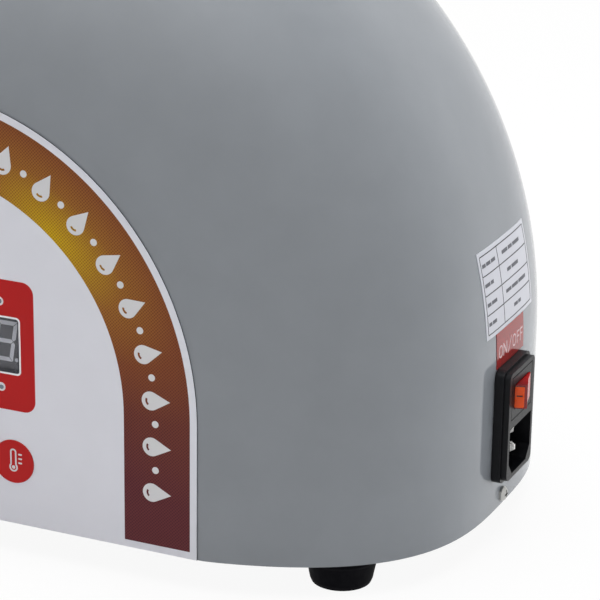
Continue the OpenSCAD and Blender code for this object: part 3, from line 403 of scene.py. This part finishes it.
# Every CAD node gets its finish; nodes that a finer piece replaces are dressed again below
NODE_LOOKS = {
    "housing_shell": paint_gray, "base_pan": dark_paint, "rubber_feet": rubber,
    "foot_screws": zinc, "shell_screws": zinc, "control_overlay": white_film,
    "display_lens": lens_material, "display_module": block_gray, "control_board": board_green,
    "board_standoffs": zinc, "indicator_leds": lamp_gray, "tact_switches": black_plastic,
    "key_left": red_film, "key_middle": red_film, "key_right": red_film,
    "rating_plate": label_film, "switch_strip": strip_film, "inlet_body": inlet_black,
    "inlet_pins": nickel, "rocker_switch": rocker_red, "fan_guard": black_plastic,
    "fan_frame": black_plastic, "fan_rotor": black_plastic, "fan_screws": zinc,
    "power_board": board_green, "motor_stator": motor_paint, "motor_bearings": bearing_steel,
    "motor_rotor": gear_steel, "motor_pinion": gear_steel, "motor_bracket": dark_paint,
    "gearcase_body": cast, "gearcase_cover": cast, "gearcase_bearings": bearing_steel,
    "gearcase_screws": zinc, "gearcase_bracket": dark_paint, "layshaft": gear_steel,
    "output_wheel": gear_steel, "output_shaft": gear_steel, "head_socket": stainless_turned,
    "head_collar": cast, "lock_knob": knob_plastic, "press_barrel": stainless_turned,
    "press_screw": stainless_turned, "barrel_cap": stainless_turned,
    "cake_nozzle": stainless_turned, "heater_band": heater_metal, "heater_guard": stainless_sheet,
    "heater_conduit": stainless_sheet, "hopper": stainless_sheet, "hopper_lid": stainless_sheet,
    "pusher": nylon, "oil_guide": stainless_sheet, "strainer": stainless_sheet,
    "oil_cup": stainless_sheet, "residue_cup": stainless_sheet,
}
for node, material in NODE_LOOKS.items():
    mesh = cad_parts[node].data
    mesh.materials.clear()
    mesh.materials.append(material)

# ---------- mesh helpers ----------


def new_piece(name, bm, body, materials, smooth=None):
    """Makes an object of bm, riding on body. smooth is the crease angle in degrees."""
    mesh = bpy.data.meshes.new(name)
    bm.normal_update()
    bm.to_mesh(mesh)
    bm.free()
    for material in materials:
        mesh.materials.append(material)
    piece = bpy.data.objects.new(name, mesh)
    bpy.context.scene.collection.objects.link(piece)
    if smooth is not None:
        mesh.shade_smooth()
        mesh.set_sharp_from_angle(angle=radians(smooth))
    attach(piece, body)
    return piece


def soften(obj, width, angle=35, segments=2):
    """Rounds the hard edges of a piece or a CAD node, as a modifier."""
    weld = obj.modifiers.new("weld", "WELD")
    weld.merge_threshold = 0.000002
    bevel = obj.modifiers.new("edges", "BEVEL")
    bevel.width = width * MM
    bevel.segments = segments
    bevel.limit_method = "ANGLE"
    bevel.angle_limit = radians(angle)
    bevel.harden_normals = True


def circle_path(x, z, r, count=48):
    """The outline of a circle, as count points."""
    turns = [2 * pi * i / count for i in range(count)]
    return [(x + r * cos(a), z + r * sin(a)) for a in turns]


def round_rect_path(x, z, w, h, r, steps=8):
    """The outline of a rectangle w by h round the point x, z, with corners of radius r."""
    points = []
    for k, (sx, sz) in enumerate(((1, 1), (-1, 1), (-1, -1), (1, -1))):
        for i in range(steps + 1):
            a = pi / 2 * (k + i / steps)
            points.append((x + sx * (w / 2 - r) + r * cos(a), z + sz * (h / 2 - r) + r * sin(a)))
    return points


def arch_path(r, low, count=96):
    """The closed outline of the arch with radius r and its foot at the height low."""
    arc = [(r * cos(pi * i / count), ARCH_CZ + r * sin(pi * i / count)) for i in range(count + 1)]
    return [(r, low)] + arc + [(-r, low)]


def prism(bm, outer, holes, y0, y1, side_index=0):
    """A flat solid between the depths y0 (front) and y1, outlined in X and Z, in millimetres."""
    before = set(bm.faces)
    loops = [outer] + holes
    rims = []
    for y in (y0, y1):
        edges = []
        rings = []
        for loop in loops:
            verts = [bm.verts.new(placed(x, y, z)) for x, z in loop]
            rings.append(verts)
            edges += [bm.edges.new((verts[i - 1], verts[i])) for i in range(len(verts))]
        bmesh.ops.triangle_fill(bm, edges=edges, use_beauty=True)
        rims.append(rings)
    for front, back in zip(*rims):
        for i in range(len(front)):
            side = bm.faces.new((front[i - 1], front[i], back[i], back[i - 1]))
            side.material_index = side_index
    bmesh.ops.recalc_face_normals(bm, faces=[f for f in bm.faces if f not in before])


def flat_piece(name, shapes, y0, y1, material, body="machine"):
    """One piece made of several flat solids, each (outline, holes)."""
    bm = bmesh.new()
    for outer, holes in shapes:
        prism(bm, outer, holes, y0, y1)
    return new_piece(name, bm, body, [material])


# ---------- housing ----------


def section_half(y, inset=0.0):
    """Half length of the housing's rounded section at the depth y."""
    t = min(1.0, abs(y) / (BODY_DEPTH / 2 - inset))
    return (END_X - inset) * (1 - t ** EDGE_EXPONENT) ** (1 / EDGE_EXPONENT)


FACET_R = section_half(FACE_Y)
SOFTEN = 2.2


def shell_profile(steps=40):
    """(radius, depth) points from the front face round to the rear face, with softened corners."""
    depths = [FACE_Y * sin(pi / 2 * i / steps) for i in range(-steps, steps + 1)]
    middle = [(section_half(y), y) for y in depths if abs(y) < FACE_Y - SOFTEN * 0.35]
    profile = []
    for side in (-1, 1):
        edge = []
        start = (FACET_R - SOFTEN, side * FACE_Y)
        corner = (FACET_R, side * FACE_Y)
        end = middle[0] if side < 0 else middle[-1]
        for i in range(7):
            t = i / 6
            a, b, c = (1 - t) ** 2, 2 * t * (1 - t), t ** 2
            edge.append((a * start[0] + b * corner[0] + c * end[0],
                         a * start[1] + b * corner[1] + c * end[1]))
        edge = [(FACET_R - SOFTEN - 1.2, side * FACE_Y)] + edge[:-1]
        profile.append(edge)
    return profile[0] + middle + profile[1][::-1]


def shell_ring(r, y, arc_steps=128, leg_steps=5):
    """Points of the arch of radius r, from the right foot over the top to the left foot."""
    leg = [(r, y, SHELL_Z + SKIRT_H * i / leg_steps) for i in range(leg_steps)]
    arc = [(r * cos(pi * i / arc_steps), y, DOME_Z + r * sin(pi * i / arc_steps))
           for i in range(arc_steps + 1)]
    return leg + arc + [(-x, py, z) for x, py, z in reversed(leg)]


def rear_openings():
    """The fan opening and the air slots in the rear face, as the CAD shell has them."""
    fan_x, fan_z, fan_r = 60, 108, 37
    first_x, pitch, slot_z, slot_w, slot_h = -100, 11, 100, 4, 70
    slots = [round_rect_path(first_x + pitch * i, slot_z, slot_w, slot_h, 0.4, 1)
             for i in range(9)]
    return [circle_path(fan_x, fan_z, fan_r, 96)] + slots


def cut_inlet_opening(bm):
    """Opens the right-hand end behind the mains inlet's flange."""
    side_rim, end_rim, behind, before = 1.7, 1.95, 10, 1
    half_w, half_h = INLET_W / 2 - side_rim, INLET_H / 2 - end_rim
    low = placed(END_X - behind, INLET_Y - half_w, INLET_CZ - half_h)
    high = placed(END_X + before, INLET_Y + half_w, INLET_CZ + half_h)
    for corner in (low, high):
        for across in ((0, 1, 0), (0, 0, 1)):
            end = [f for f in bm.faces if f.calc_center_median().x > low.x]
            parts = {part for f in end for part in (*f.verts, *f.edges)}
            bmesh.ops.bisect_plane(bm, geom=end + list(parts), plane_co=corner,
                                   plane_no=across, dist=0.000001)
    cut_out = [f for f in bm.faces
               if all(a < c < b for a, c, b in zip(low, f.calc_center_median(), high))]
    bmesh.ops.delete(bm, geom=cut_out, context="FACES")


def housing():
    """The painted cover: the rounded skin, its two flat faces and their openings."""
    bm = bmesh.new()
    rings = [[bm.verts.new(placed(*p)) for p in shell_ring(r, y)] for r, y in shell_profile()]
    for a, b in zip(rings, rings[1:]):
        for i in range(len(a) - 1):
            bm.faces.new((a[i], a[i + 1], b[i + 1], b[i]))
    # flat faces, closed along the bottom edge, with their openings
    window = [round_rect_path(0, WINDOW_CZ, WINDOW_W, WINDOW_H, 0.4, 1)]
    for ring, y, holes in ((rings[0], -FACE_Y, window), (rings[-1], FACE_Y, rear_openings())):
        edges = [bm.edges.get((ring[i], ring[i + 1])) for i in range(len(ring) - 1)]
        edges.append(bm.edges.new((ring[-1], ring[0])))
        for hole in holes:
            verts = [bm.verts.new(placed(x, y, z)) for x, z in hole]
            edges += [bm.edges.new((verts[i - 1], verts[i])) for i in range(len(verts))]
        bmesh.ops.triangle_fill(bm, edges=edges, use_beauty=True)
    bmesh.ops.recalc_face_normals(bm, faces=bm.faces)
    top = max(bm.faces, key=lambda f: f.calc_center_median().z)
    if top.normal.z < 0:
        bmesh.ops.reverse_faces(bm, faces=bm.faces)
    cut_inlet_opening(bm)
    bm.edges.index_update()
    rims = [e.index for e in bm.edges if e.is_boundary]
    piece = new_piece("shell_cover", bm, "machine", [paint_gray], 35)
    for k in rims:
        piece.data.edges[k].use_edge_sharp = True
    skin = piece.modifiers.new("thickness", "SOLIDIFY")
    skin.thickness = WALL * MM
    skin.offset = -1
    skin.use_even_offset = True
    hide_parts("housing_shell")


housing()

# ---------- control panel ----------

BORDER = 3.1
BAND_W = 29.5
INK = 0.05
LAMP_XS = (-35, 0, 35)
LAMP_ZS = (SHELL_Z + 59.4, SHELL_Z + 97.2)
RING_ZS = (SHELL_Z + 60, SHELL_Z + 97)
LAMP_R, RING_R, RING_BORE_R = 1.4, 1.9, 1.1
FIELD_W, FIELD_H = 101.6, 56
FRAME_W, FRAME_H = 88.9, 25.0
FRAME_IN_W, FRAME_IN_H = 87.3, 23.4
LINE_IN_W, LINE_IN_H = 86.3, 22.4


def panel():
    """The overlay sheet and what is printed on it, but for the row of drops."""
    keys = [circle_path(KEY_PITCH * i, KEY_CZ, KEY_D / 2 + 0.12, 64) for i in (-1, 0, 1)]
    lamps = [circle_path(x, z, LAMP_R, 24) for x in LAMP_XS for z in LAMP_ZS]
    window = round_rect_path(0, WINDOW_CZ, WINDOW_W, WINDOW_H, 1.4, 5)
    bm = bmesh.new()
    prism(bm, arch_path(ARCH_R, SHELL_Z), [window] + keys + lamps, PRINT_Y, -FACE_Y, 1)
    sheet = new_piece("overlay_sheet", bm, "machine", [white_film, film_edge])
    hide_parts("control_overlay")

    # coloured band, in one strip from foot to foot
    inner = arch_path(ARCH_R - BORDER - BAND_W, SHELL_Z + BORDER)
    outer = arch_path(ARCH_R - BORDER, SHELL_Z + BORDER)
    print_depth = (PRINT_Y - INK, PRINT_Y)
    flat_piece("arch_band", [(outer + inner[::-1], [])], *print_depth, band_film)

    field = round_rect_path(0, WINDOW_CZ, FIELD_W, FIELD_H, 5.2, 12)
    frame_in = round_rect_path(0, WINDOW_CZ, FRAME_IN_W, FRAME_IN_H, 1.2, 6)
    frame_out = round_rect_path(0, WINDOW_CZ, FRAME_W, FRAME_H, 1.9, 6)
    ring_holes = [circle_path(x, z, RING_R, 40) for x in LAMP_XS for z in RING_ZS]
    flat_piece("display_field", [(field, [frame_out] + ring_holes)], *print_depth, red_film)
    flat_piece("window_frame", [(frame_out, [frame_in])], *print_depth, frame_white)
    line_in = round_rect_path(0, WINDOW_CZ, LINE_IN_W, LINE_IN_H, 0.8, 6)
    flat_piece("window_line", [(frame_in, [line_in])], *print_depth, film_edge)
    rings = [(circle_path(x, z, RING_R, 40), [circle_path(x, z, RING_BORE_R, 32)])
             for x in LAMP_XS for z in RING_ZS]
    flat_piece("lamp_rings", rings, *print_depth, ink_white)


panel()


def band_drops():
    """A row of drops and dots along the band, where the real machine has words."""
    r = ARCH_R - BORDER - BAND_W / 2
    first_drop, count = 26.0, 21
    belly, tip, drop_r = -2.3, 6.4, 4.0
    dot_lift, dot_r = -0.6, 1.5
    gleam_lift, gleam_out_r, gleam_in_r = belly + 0.1, 2.5, 1.6
    low, leg = SHELL_Z + first_drop, ARCH_CZ - SHELL_Z - first_drop
    whole = 2 * leg + pi * r

    def on_band(s, lift, side):
        """The point at the distance s along the band, lift outwards and side along it."""
        if s < leg:
            centre, out, along = (r, low + s), (1, 0), (0, 1)
        elif s > whole - leg:
            centre, out, along = (-r, low + whole - s), (-1, 0), (0, -1)
        else:
            a = (s - leg) / r
            centre = (r * cos(a), ARCH_CZ + r * sin(a))
            out, along = (cos(a), sin(a)), (-sin(a), cos(a))
        return (centre[0] + out[0] * lift + along[0] * side,
                centre[1] + out[1] * lift + along[1] * side)

    shapes = []
    for k in range(count):
        s = whole * k / (count - 1)
        tangent = acos(drop_r / (tip - belly))
        outline = [on_band(s, tip, 0)]
        for i in range(25):
            a = tangent + (2 * pi - 2 * tangent) * i / 24
            outline.append(on_band(s, belly + drop_r * cos(a), drop_r * sin(a)))
        gleam = [on_band(s, gleam_lift + gleam_out_r * cos(a), gleam_out_r * sin(a))
                 for a in (radians(150 + 80 * i / 8) for i in range(9))]
        gleam += [on_band(s, gleam_lift + gleam_in_r * cos(a), gleam_in_r * sin(a))
                  for a in (radians(230 - 80 * i / 8) for i in range(9))]
        shapes.append((outline, [gleam]))
        if k < count - 1:
            between = s + whole / (count - 1) / 2
            dot = [on_band(between, dot_lift + dot_r * cos(a), dot_r * sin(a))
                   for a in (2 * pi * i / 20 for i in range(20))]
            shapes.append((dot, []))
    flat_piece("band_drops", shapes, PRINT_Y - 2 * INK, PRINT_Y - INK, ink_white)


band_drops()

DIGIT_H = 17.4
DIGIT_W = 9.6
DIGIT_PITCH = 14.0
DIGIT_BASE = SHELL_Z + 70.9
DIGITS_RIGHT = 42.5
GROUP_GAP = 1.5
STROKE = 1.75
LEAN = 0.165


def digit(right_x, low_z):
    """Seven bars with mitred ends and a point; the digit leans to the right."""
    w, h, s, gap = DIGIT_W, DIGIT_H, STROKE, 0.2
    side = [(w, h - gap), (w - s, h - s - gap), (w - s, (h + s) / 2 + gap),
            (w - s / 2, h / 2 + gap), (w, (h + s) / 2 + gap)]
    cap = [(gap, h), (w - gap, h), (w - s - gap, h - s), (s + gap, h - s)]
    end = [(w - s - gap, (h + s) / 2), (w - s / 2 - gap, h / 2), (w - s - gap, (h - s) / 2)]
    bars = [end + [(w - x, z) for x, z in reversed(end)]]
    for low in (False, True):
        bars.append([(x, h - z if low else z) for x, z in cap])
        for left in (False, True):
            bars.append([(w - x if left else x, h - z if low else z) for x, z in side])
    base = right_x - w - LEAN * h
    shapes = [([(base + x + LEAN * z, low_z + z) for x, z in bar], []) for bar in bars]
    point = circle_path(right_x - 1.0, low_z + 1.0, 0.85, 20)
    return shapes + [(point, [])]


def digits():
    """Six digits in two groups of three, on the display behind the lens."""
    behind_film, thickness, count = 1.7, 0.06, 6
    face = PRINT_Y + behind_film
    shapes = []
    for k in range(count):
        shapes += digit(DIGITS_RIGHT - DIGIT_PITCH * k - (GROUP_GAP if k > 2 else 0), DIGIT_BASE)
    flat_piece("led_digits", shapes, face - thickness, face, digit_gray)


digits()


def key_marks():
    """A drop, a power sign and a thermometer, one on each key."""
    y0 = PRINT_Y - KEY_PROUD - INK
    y1 = PRINT_Y - KEY_PROUD

    def arc_band(x, z, r, w, a0, a1, count=28):
        out = [(x + r * cos(a0 + (a1 - a0) * i / count), z + r * sin(a0 + (a1 - a0) * i / count))
               for i in range(count + 1)]
        inn = [(x + (r - w) * cos(a0 + (a1 - a0) * i / count),
                z + (r - w) * sin(a0 + (a1 - a0) * i / count)) for i in range(count + 1)]
        return (out + inn[::-1], [])

    def bar(x, z, w, h):
        return (round_rect_path(x, z, w, h, min(w, h) * 0.45, 4), [])

    drop = arc_band(-KEY_PITCH, KEY_CZ - 0.9, 2.7, 0.8, radians(150), radians(390))
    tip = (-KEY_PITCH, KEY_CZ + 4.2)
    sides = []
    for s in (-1, 1):
        foot = (-KEY_PITCH + s * 2.34, KEY_CZ + 0.45)
        inner = (-KEY_PITCH + s * 1.64, KEY_CZ + 0.05)
        sides.append(([foot, tip, (-KEY_PITCH, KEY_CZ + 2.8), inner], []))
    flat_piece("mark_left", [drop] + sides, y0, y1, ink_white, "key_left")
    flat_piece("mark_middle", [arc_band(0, KEY_CZ - 0.4, 3.4, 0.8, radians(125), radians(415)),
                               bar(0, KEY_CZ + 2.6, 0.9, 3.6)], y0, y1, ink_white, "key_middle")
    x = KEY_PITCH
    stem = arc_band(x, KEY_CZ - 2.4, 2.0, 0.7, radians(125), radians(415))
    ticks = [bar(x + 3.2, KEY_CZ + dz, 1.8, 0.7) for dz in (-0.2, 1.7, 3.6)]
    walls = [bar(x + s * 1.15, KEY_CZ + 1.6, 0.7, 5.6) for s in (-1, 1)]
    cap = arc_band(x, KEY_CZ + 4.3, 1.5, 0.7, 0, pi)
    dot = (circle_path(x, KEY_CZ - 2.4, 0.8, 20), [])
    flat_piece("mark_right", [stem, cap, dot] + ticks + walls, y0, y1, ink_white, "key_right")


key_marks()

# ---------- labels ----------

# each label's two edges in Y and its two edges in Z, and how thick both are
PLATE = (-25.6, 30.5, 94.7, 131.0)
STRIP = (-15.5, 17.4, 79.1, 94.6)
LABEL_T = 0.25


def skin_point(y, z, lift):
    """A point over the right-hand side of the housing, at the height lift above its paint."""
    r = section_half(y) + lift
    rise = max(0.0, z - DOME_Z)
    return placed(sqrt(r * r - rise * rise), y, z)


def skin_sheet(bm, y0, y1, z0, z1, low, high, step=2.0):
    """A thin rectangle that follows the housing between the heights low and high above it."""
    ny, nz = max(1, ceil((y1 - y0) / step)), max(1, ceil((z1 - z0) / step))
    grids = [[[bm.verts.new(skin_point(y0 + (y1 - y0) * j / ny, z0 + (z1 - z0) * i / nz, lift))
               for j in range(ny + 1)] for i in range(nz + 1)] for lift in (high, low)]
    faces = []
    for grid in grids:
        for i in range(nz):
            for j in range(ny):
                faces.append(bm.faces.new((grid[i][j], grid[i][j + 1], grid[i + 1][j + 1],
                                           grid[i + 1][j])))
    top, bottom = grids
    rim = ([(0, j) for j in range(ny)] + [(i, ny) for i in range(nz)]
           + [(nz, j) for j in range(ny, 0, -1)] + [(i, 0) for i in range(nz, 0, -1)])
    for k, (i, j) in enumerate(rim):
        a, b = rim[k - 1], (i, j)
        faces.append(bm.faces.new((top[a[0]][a[1]], top[b[0]][b[1]], bottom[b[0]][b[1]],
                                   bottom[a[0]][a[1]])))
    bmesh.ops.recalc_face_normals(bm, faces=faces)


def closer(loop, step=1.2):
    """The same closed outline with points no further apart than step."""
    points = []
    for (ay, az), (by, bz) in zip(loop, loop[1:] + loop[:1]):
        count = max(1, ceil(sqrt((by - ay) ** 2 + (bz - az) ** 2) / step))
        points += [(ay + (by - ay) * i / count, az + (bz - az) * i / count) for i in range(count)]
    return points


def skin_shape(bm, outer, holes, low, high):
    """A small flat shape, outlined in Y and Z, laid on the housing."""
    rims, made = [], []
    for lift in (high, low):
        edges, rings = [], []
        for loop in map(closer, [outer] + holes):
            verts = [bm.verts.new(skin_point(y, z, lift)) for y, z in loop]
            rings.append(verts)
            edges += [bm.edges.new((verts[i - 1], verts[i])) for i in range(len(verts))]
        found = bmesh.ops.triangle_fill(bm, edges=edges, use_beauty=True)["geom"]
        made += [f for f in found if isinstance(f, bmesh.types.BMFace)]
        rims.append(rings)
    for front, back in zip(*rims):
        for i in range(len(front)):
            made.append(bm.faces.new((front[i - 1], front[i], back[i], back[i - 1])))
    bmesh.ops.recalc_face_normals(bm, faces=made)


def labels():
    """The rating plate with its ruled table, and the red switch strip."""
    bm = bmesh.new()
    skin_sheet(bm, *PLATE, 0.0, LABEL_T)
    piece = new_piece("plate_sheet", bm, "machine", [label_film], 40)
    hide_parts("rating_plate")
    bm = bmesh.new()
    skin_sheet(bm, *STRIP, 0.0, LABEL_T)
    piece = new_piece("strip_sheet", bm, "machine", [strip_film], 40)
    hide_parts("switch_strip")

    # ruled table: a frame, four rows, two columns
    margin, first_column, line, lift = 1.9, 0.35, 0.38, (LABEL_T, LABEL_T + INK)
    y0, y1, z0, z1 = PLATE[0] + margin, PLATE[1] - margin, PLATE[2] + margin, PLATE[3] - margin
    divide = y0 + first_column * (y1 - y0)
    rows = [z0 + (z1 - z0) * k / 4 for k in range(5)]
    bm = bmesh.new()
    for z in rows:
        skin_sheet(bm, y0, y1, z - line / 2, z + line / 2, *lift)
    for y in (y0, divide, y1):
        for low, high in zip(rows, rows[1:]):
            skin_sheet(bm, y - line / 2, y + line / 2, low + line / 2, high - line / 2, *lift)
    new_piece("plate_table", bm, "machine", [ink_black])
    # short rows of dashes stand where the maker's data would be
    bm = bmesh.new()
    half_dash = 0.75
    dashes = (((1.2, 4.6), (5.4, 9.8), (10.6, 15.2)), ((1.2, 6.4), (7.2, 10.2)),
              ((1.2, 5.0), (5.8, 11.4)), ((1.2, 4.2), (5.0, 9.4)))
    values = (((5, 11.6), (12.6, 17.2), (18.2, 26.5)), ((8, 12.4), (13.4, 21.5)),
              ((4, 10.2), (11.2, 18.4), (19.4, 28.5)), ((12, 16.4), (17.2, 20.4)))
    for k in range(4):
        middle = (rows[3 - k] + rows[4 - k]) / 2
        for start, cells in ((y0, dashes[k]), (divide, values[k])):
            for a, b in cells:
                skin_sheet(bm, start + a, start + b, middle - half_dash, middle + half_dash, *lift)
    new_piece("plate_dashes", bm, "machine", [ink_gray])


labels()


def on_off():
    """The word ON/OFF on the red strip, drawn with strokes."""
    low, high, w = 83.0, 88.5, 0.66
    bm = bmesh.new()

    def quad(*points):
        skin_shape(bm, list(points), [], LABEL_T, LABEL_T + INK)

    def bar(y0, y1, z0, z1):
        quad((y0, z0), (y1, z0), (y1, z1), (y0, z1))

    def letter_o(y, width):
        mid_y, mid_z = y + width / 2, (low + high) / 2
        skin_shape(bm, round_rect_path(mid_y, mid_z, width, high - low, width / 2 - 0.05, 7),
                   [round_rect_path(mid_y, mid_z, width - 2 * w, high - low - 2 * w,
                                    width / 2 - w - 0.05, 7)], LABEL_T, LABEL_T + INK)

    def letter_f(y, width):
        bar(y, y + w, low, high)
        bar(y + w, y + width, high - w, high)
        middle = low + (high - low) * 0.48
        bar(y + w, y + width * 0.88, middle, middle + w)

    letter_o(-13.3, 4.4)
    start, width = -8.1, 4.4
    bar(start, start + w, low, high)
    bar(start + width - w, start + width, low, high)
    quad((start + w, high), (start + w, high - 1.5), (start + width - w, low),
         (start + width - w, low + 1.5))
    quad((-2.7, low - 0.5), (-1.95, low - 0.5), (2.35, high + 0.5), (1.6, high + 0.5))
    letter_o(3.1, 4.2)
    letter_f(8.5, 3.3)
    letter_f(12.6, 3.3)
    new_piece("strip_words", bm, "machine", [strip_ink])


on_off()


def end_patch(name, a0, a1, z0, z1, corner, r0, r1, material):
    """A thin patch on the rocker's round near end, from a0 to a1 degrees towards the front."""
    length = radians(a1 - a0) * ROCKER_R
    bm = bmesh.new()
    columns = []
    for i in range(25):
        u = length * (1 - cos(pi * i / 24)) / 2
        near = min(u, length - u)
        inset = corner - sqrt(max(0.0, corner ** 2 - max(0.0, corner - near) ** 2))
        a = radians(a0) + u / ROCKER_R
        columns.append([bm.verts.new(placed(ROCKER_X + r * sin(a), INLET_Y - r * cos(a), z))
                        for r, z in ((r0, z0 + inset), (r1, z0 + inset), (r1, z1 - inset),
                                     (r0, z1 - inset))])
    for a, b in zip(columns, columns[1:]):
        for i in range(4):
            bm.faces.new((a[i - 1], a[i], b[i], b[i - 1]))
    bm.faces.new(columns[0])
    bm.faces.new(columns[-1])
    bmesh.ops.recalc_face_normals(bm, faces=bm.faces)
    new_piece(name, bm, "rocker", [material], 40)


def rocker_painted_glow():
    """A painted glow: an orange window in the rocker's near end, painted as if lit through the
    plastic, with a dash across its middle and a painted shade line along its top.
    """
    low, high = SHELL_Z + 47.4, SHELL_Z + 56.7
    # painted glow patch on the rocker's near end
    end_patch("rocker_painted_glow", 9, 36, low, high, 0.6, ROCKER_R, ROCKER_R + 0.1, rocker_painted_glow_orange)
    end_patch("rocker_dash", 14.5, 31, ROCKER_CZ + 0.15, ROCKER_CZ + 0.75, 0.2, ROCKER_R + 0.1,
              ROCKER_R + 0.13, ink_black)
    # painted shade line along the window's top edge
    end_patch("rocker_shade_edge", 9, 37, high, high + 0.3, 0.1, ROCKER_R, ROCKER_R + 0.06, rocker_painted_shade_red)


rocker_painted_glow()


def screw_slot_shade():
    """Painted shade: dark pieces that fill the bottoms of the cross slots in the housing's screws.
    """
    arms = ((3.4, 0.7, 0.4), (0.7, 3.4, 0.36))
    bottom, z = 1.75, SHELL_Z + 4.8
    left_y, rear_x, inlet_drop, head_r, bedded = 20, 95, 1.8, 3.4, 0.05
    left_x = bedded - section_half(left_y + head_r)
    places = [((END_X - bedded + bottom, INLET_Y - inlet_drop, z), True)]
    places += [((left_x - bottom, y, z), True) for y in (-left_y, left_y)]
    places += [((x, FACE_Y + bottom, z), False) for x in (-rear_x, rear_x)]
    bm = bmesh.new()
    for at, faces_x in places:
        for wide, tall, thick in arms:
            size = (thick, wide, tall) if faces_x else (wide, thick, tall)
            turn = Matrix.Diagonal((*(v * MM for v in size), 1))
            bmesh.ops.create_cube(bm, size=1, matrix=Matrix.Translation(placed(*at)) @ turn)
    new_piece("screw_slot_shade", bm, "machine", [slot_shade])


screw_slot_shade()
soften(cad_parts["inlet_body"], 0.6)

# ---------- stage, light ----------

# The overhead softbox: its direction, its full and its outer angle in degrees, its level
SOFTBOX_TOWARD = (-0.296, -0.171, 0.940)
SOFTBOX_INNER, SOFTBOX_OUTER, SOFTBOX_LEVEL = 5, 67, 1.4


def glow(name, strength, color=(1, 1, 1, 1)):
    """White to the camera, in reflections and through glass; a plain level for the rest."""
    world = bpy.data.worlds.new(name)
    world.use_nodes = True
    nodes, links = world.node_tree.nodes, world.node_tree.links
    background = nodes["Background"]
    background.inputs["Color"].default_value = color
    path = nodes.new("ShaderNodeLightPath")
    seen = path.outputs["Is Camera Ray"]
    for ray in ("Is Glossy Ray", "Is Transmission Ray"):
        either = nodes.new("ShaderNodeMath")
        either.operation = "MAXIMUM"
        links.new(seen, either.inputs[0])
        links.new(path.outputs[ray], either.inputs[1])
        seen = either.outputs[0]
    level = nodes.new("ShaderNodeMapRange")
    level.inputs["To Min"].default_value = strength
    level.inputs["To Max"].default_value = 1.0
    links.new(seen, level.inputs["Value"])
    # a large softbox overhead, seen only in reflections
    toward = nodes.new("ShaderNodeVectorMath")
    toward.operation = "DOT_PRODUCT"
    toward.inputs[1].default_value = SOFTBOX_TOWARD
    links.new(nodes.new("ShaderNodeTexCoord").outputs["Generated"], toward.inputs[0])
    box = nodes.new("ShaderNodeMapRange")
    box.interpolation_type = "SMOOTHSTEP"
    box.inputs["From Min"].default_value = cos(radians(SOFTBOX_OUTER))
    box.inputs["From Max"].default_value = cos(radians(SOFTBOX_INNER))
    box.inputs["To Max"].default_value = SOFTBOX_LEVEL
    links.new(toward.outputs["Value"], box.inputs["Value"])
    total = nodes.new("ShaderNodeMath")
    total.operation = "MULTIPLY_ADD"
    links.new(box.outputs["Result"], total.inputs[0])
    links.new(path.outputs["Is Glossy Ray"], total.inputs[1])
    links.new(level.outputs["Result"], total.inputs[2])
    links.new(total.outputs["Value"], background.inputs["Strength"])
    bpy.context.scene.world = world


glow("studio", 0.1)


def floor():
    """A plain pale floor, nearly white to the camera, that keeps the object's shadow."""
    bm = bmesh.new()
    bmesh.ops.create_grid(bm, x_segments=8, y_segments=8, size=6)
    mesh = bpy.data.meshes.new("floor")
    bm.to_mesh(mesh)
    bm.free()
    obj = bpy.data.objects.new("floor", mesh)
    bpy.context.scene.collection.objects.link(obj)
    look = Look("floor", (0.9, 0.9, 0.9, 1), 0.9)
    path = look.nodes.new("ShaderNodeLightPath")
    glow_node = look.nodes.new("ShaderNodeEmission")
    mix = look.nodes.new("ShaderNodeMixShader")
    seen = look.math("MAXIMUM", path.outputs["Is Camera Ray"],
                     look.math("MAXIMUM", path.outputs["Is Glossy Ray"],
                               path.outputs["Is Transmission Ray"]))
    look.links.new(look.math("MULTIPLY", seen, 0.93), mix.inputs[0])
    look.links.new(look.shader.outputs[0], mix.inputs[1])
    look.links.new(glow_node.outputs[0], mix.inputs[2])
    look.links.new(mix.outputs[0], look.nodes["Material Output"].inputs["Surface"])
    mesh.materials.append(look.material)


floor()


def soft_light(name, at, aim, size, power):
    """A square lamp of size metres and power watts, not seen by the camera or in reflections."""
    data = bpy.data.lights.new(name, "AREA")
    data.shape = "SQUARE"
    data.size = size
    data.energy = power
    light = bpy.data.objects.new(name, data)
    light.location = at
    light.rotation_euler = (Vector(aim) - Vector(at)).to_track_quat("-Z", "Y").to_euler()
    light.visible_camera = False
    light.visible_glossy = False
    bpy.context.scene.collection.objects.link(light)


AIM = (0.2, 0.0, 0.15)
soft_light("top", (0.0, 0.0, 2.6), AIM, 2.6, 92)
soft_light("right_back", (2.6, 0.9, 0.5), AIM, 1.4, 10.5)
soft_light("table_bounce", (0.66, 0.5, 0.02), AIM, 0.3, 2.1)

scene = bpy.context.scene
scene.view_settings.view_transform = "Standard"
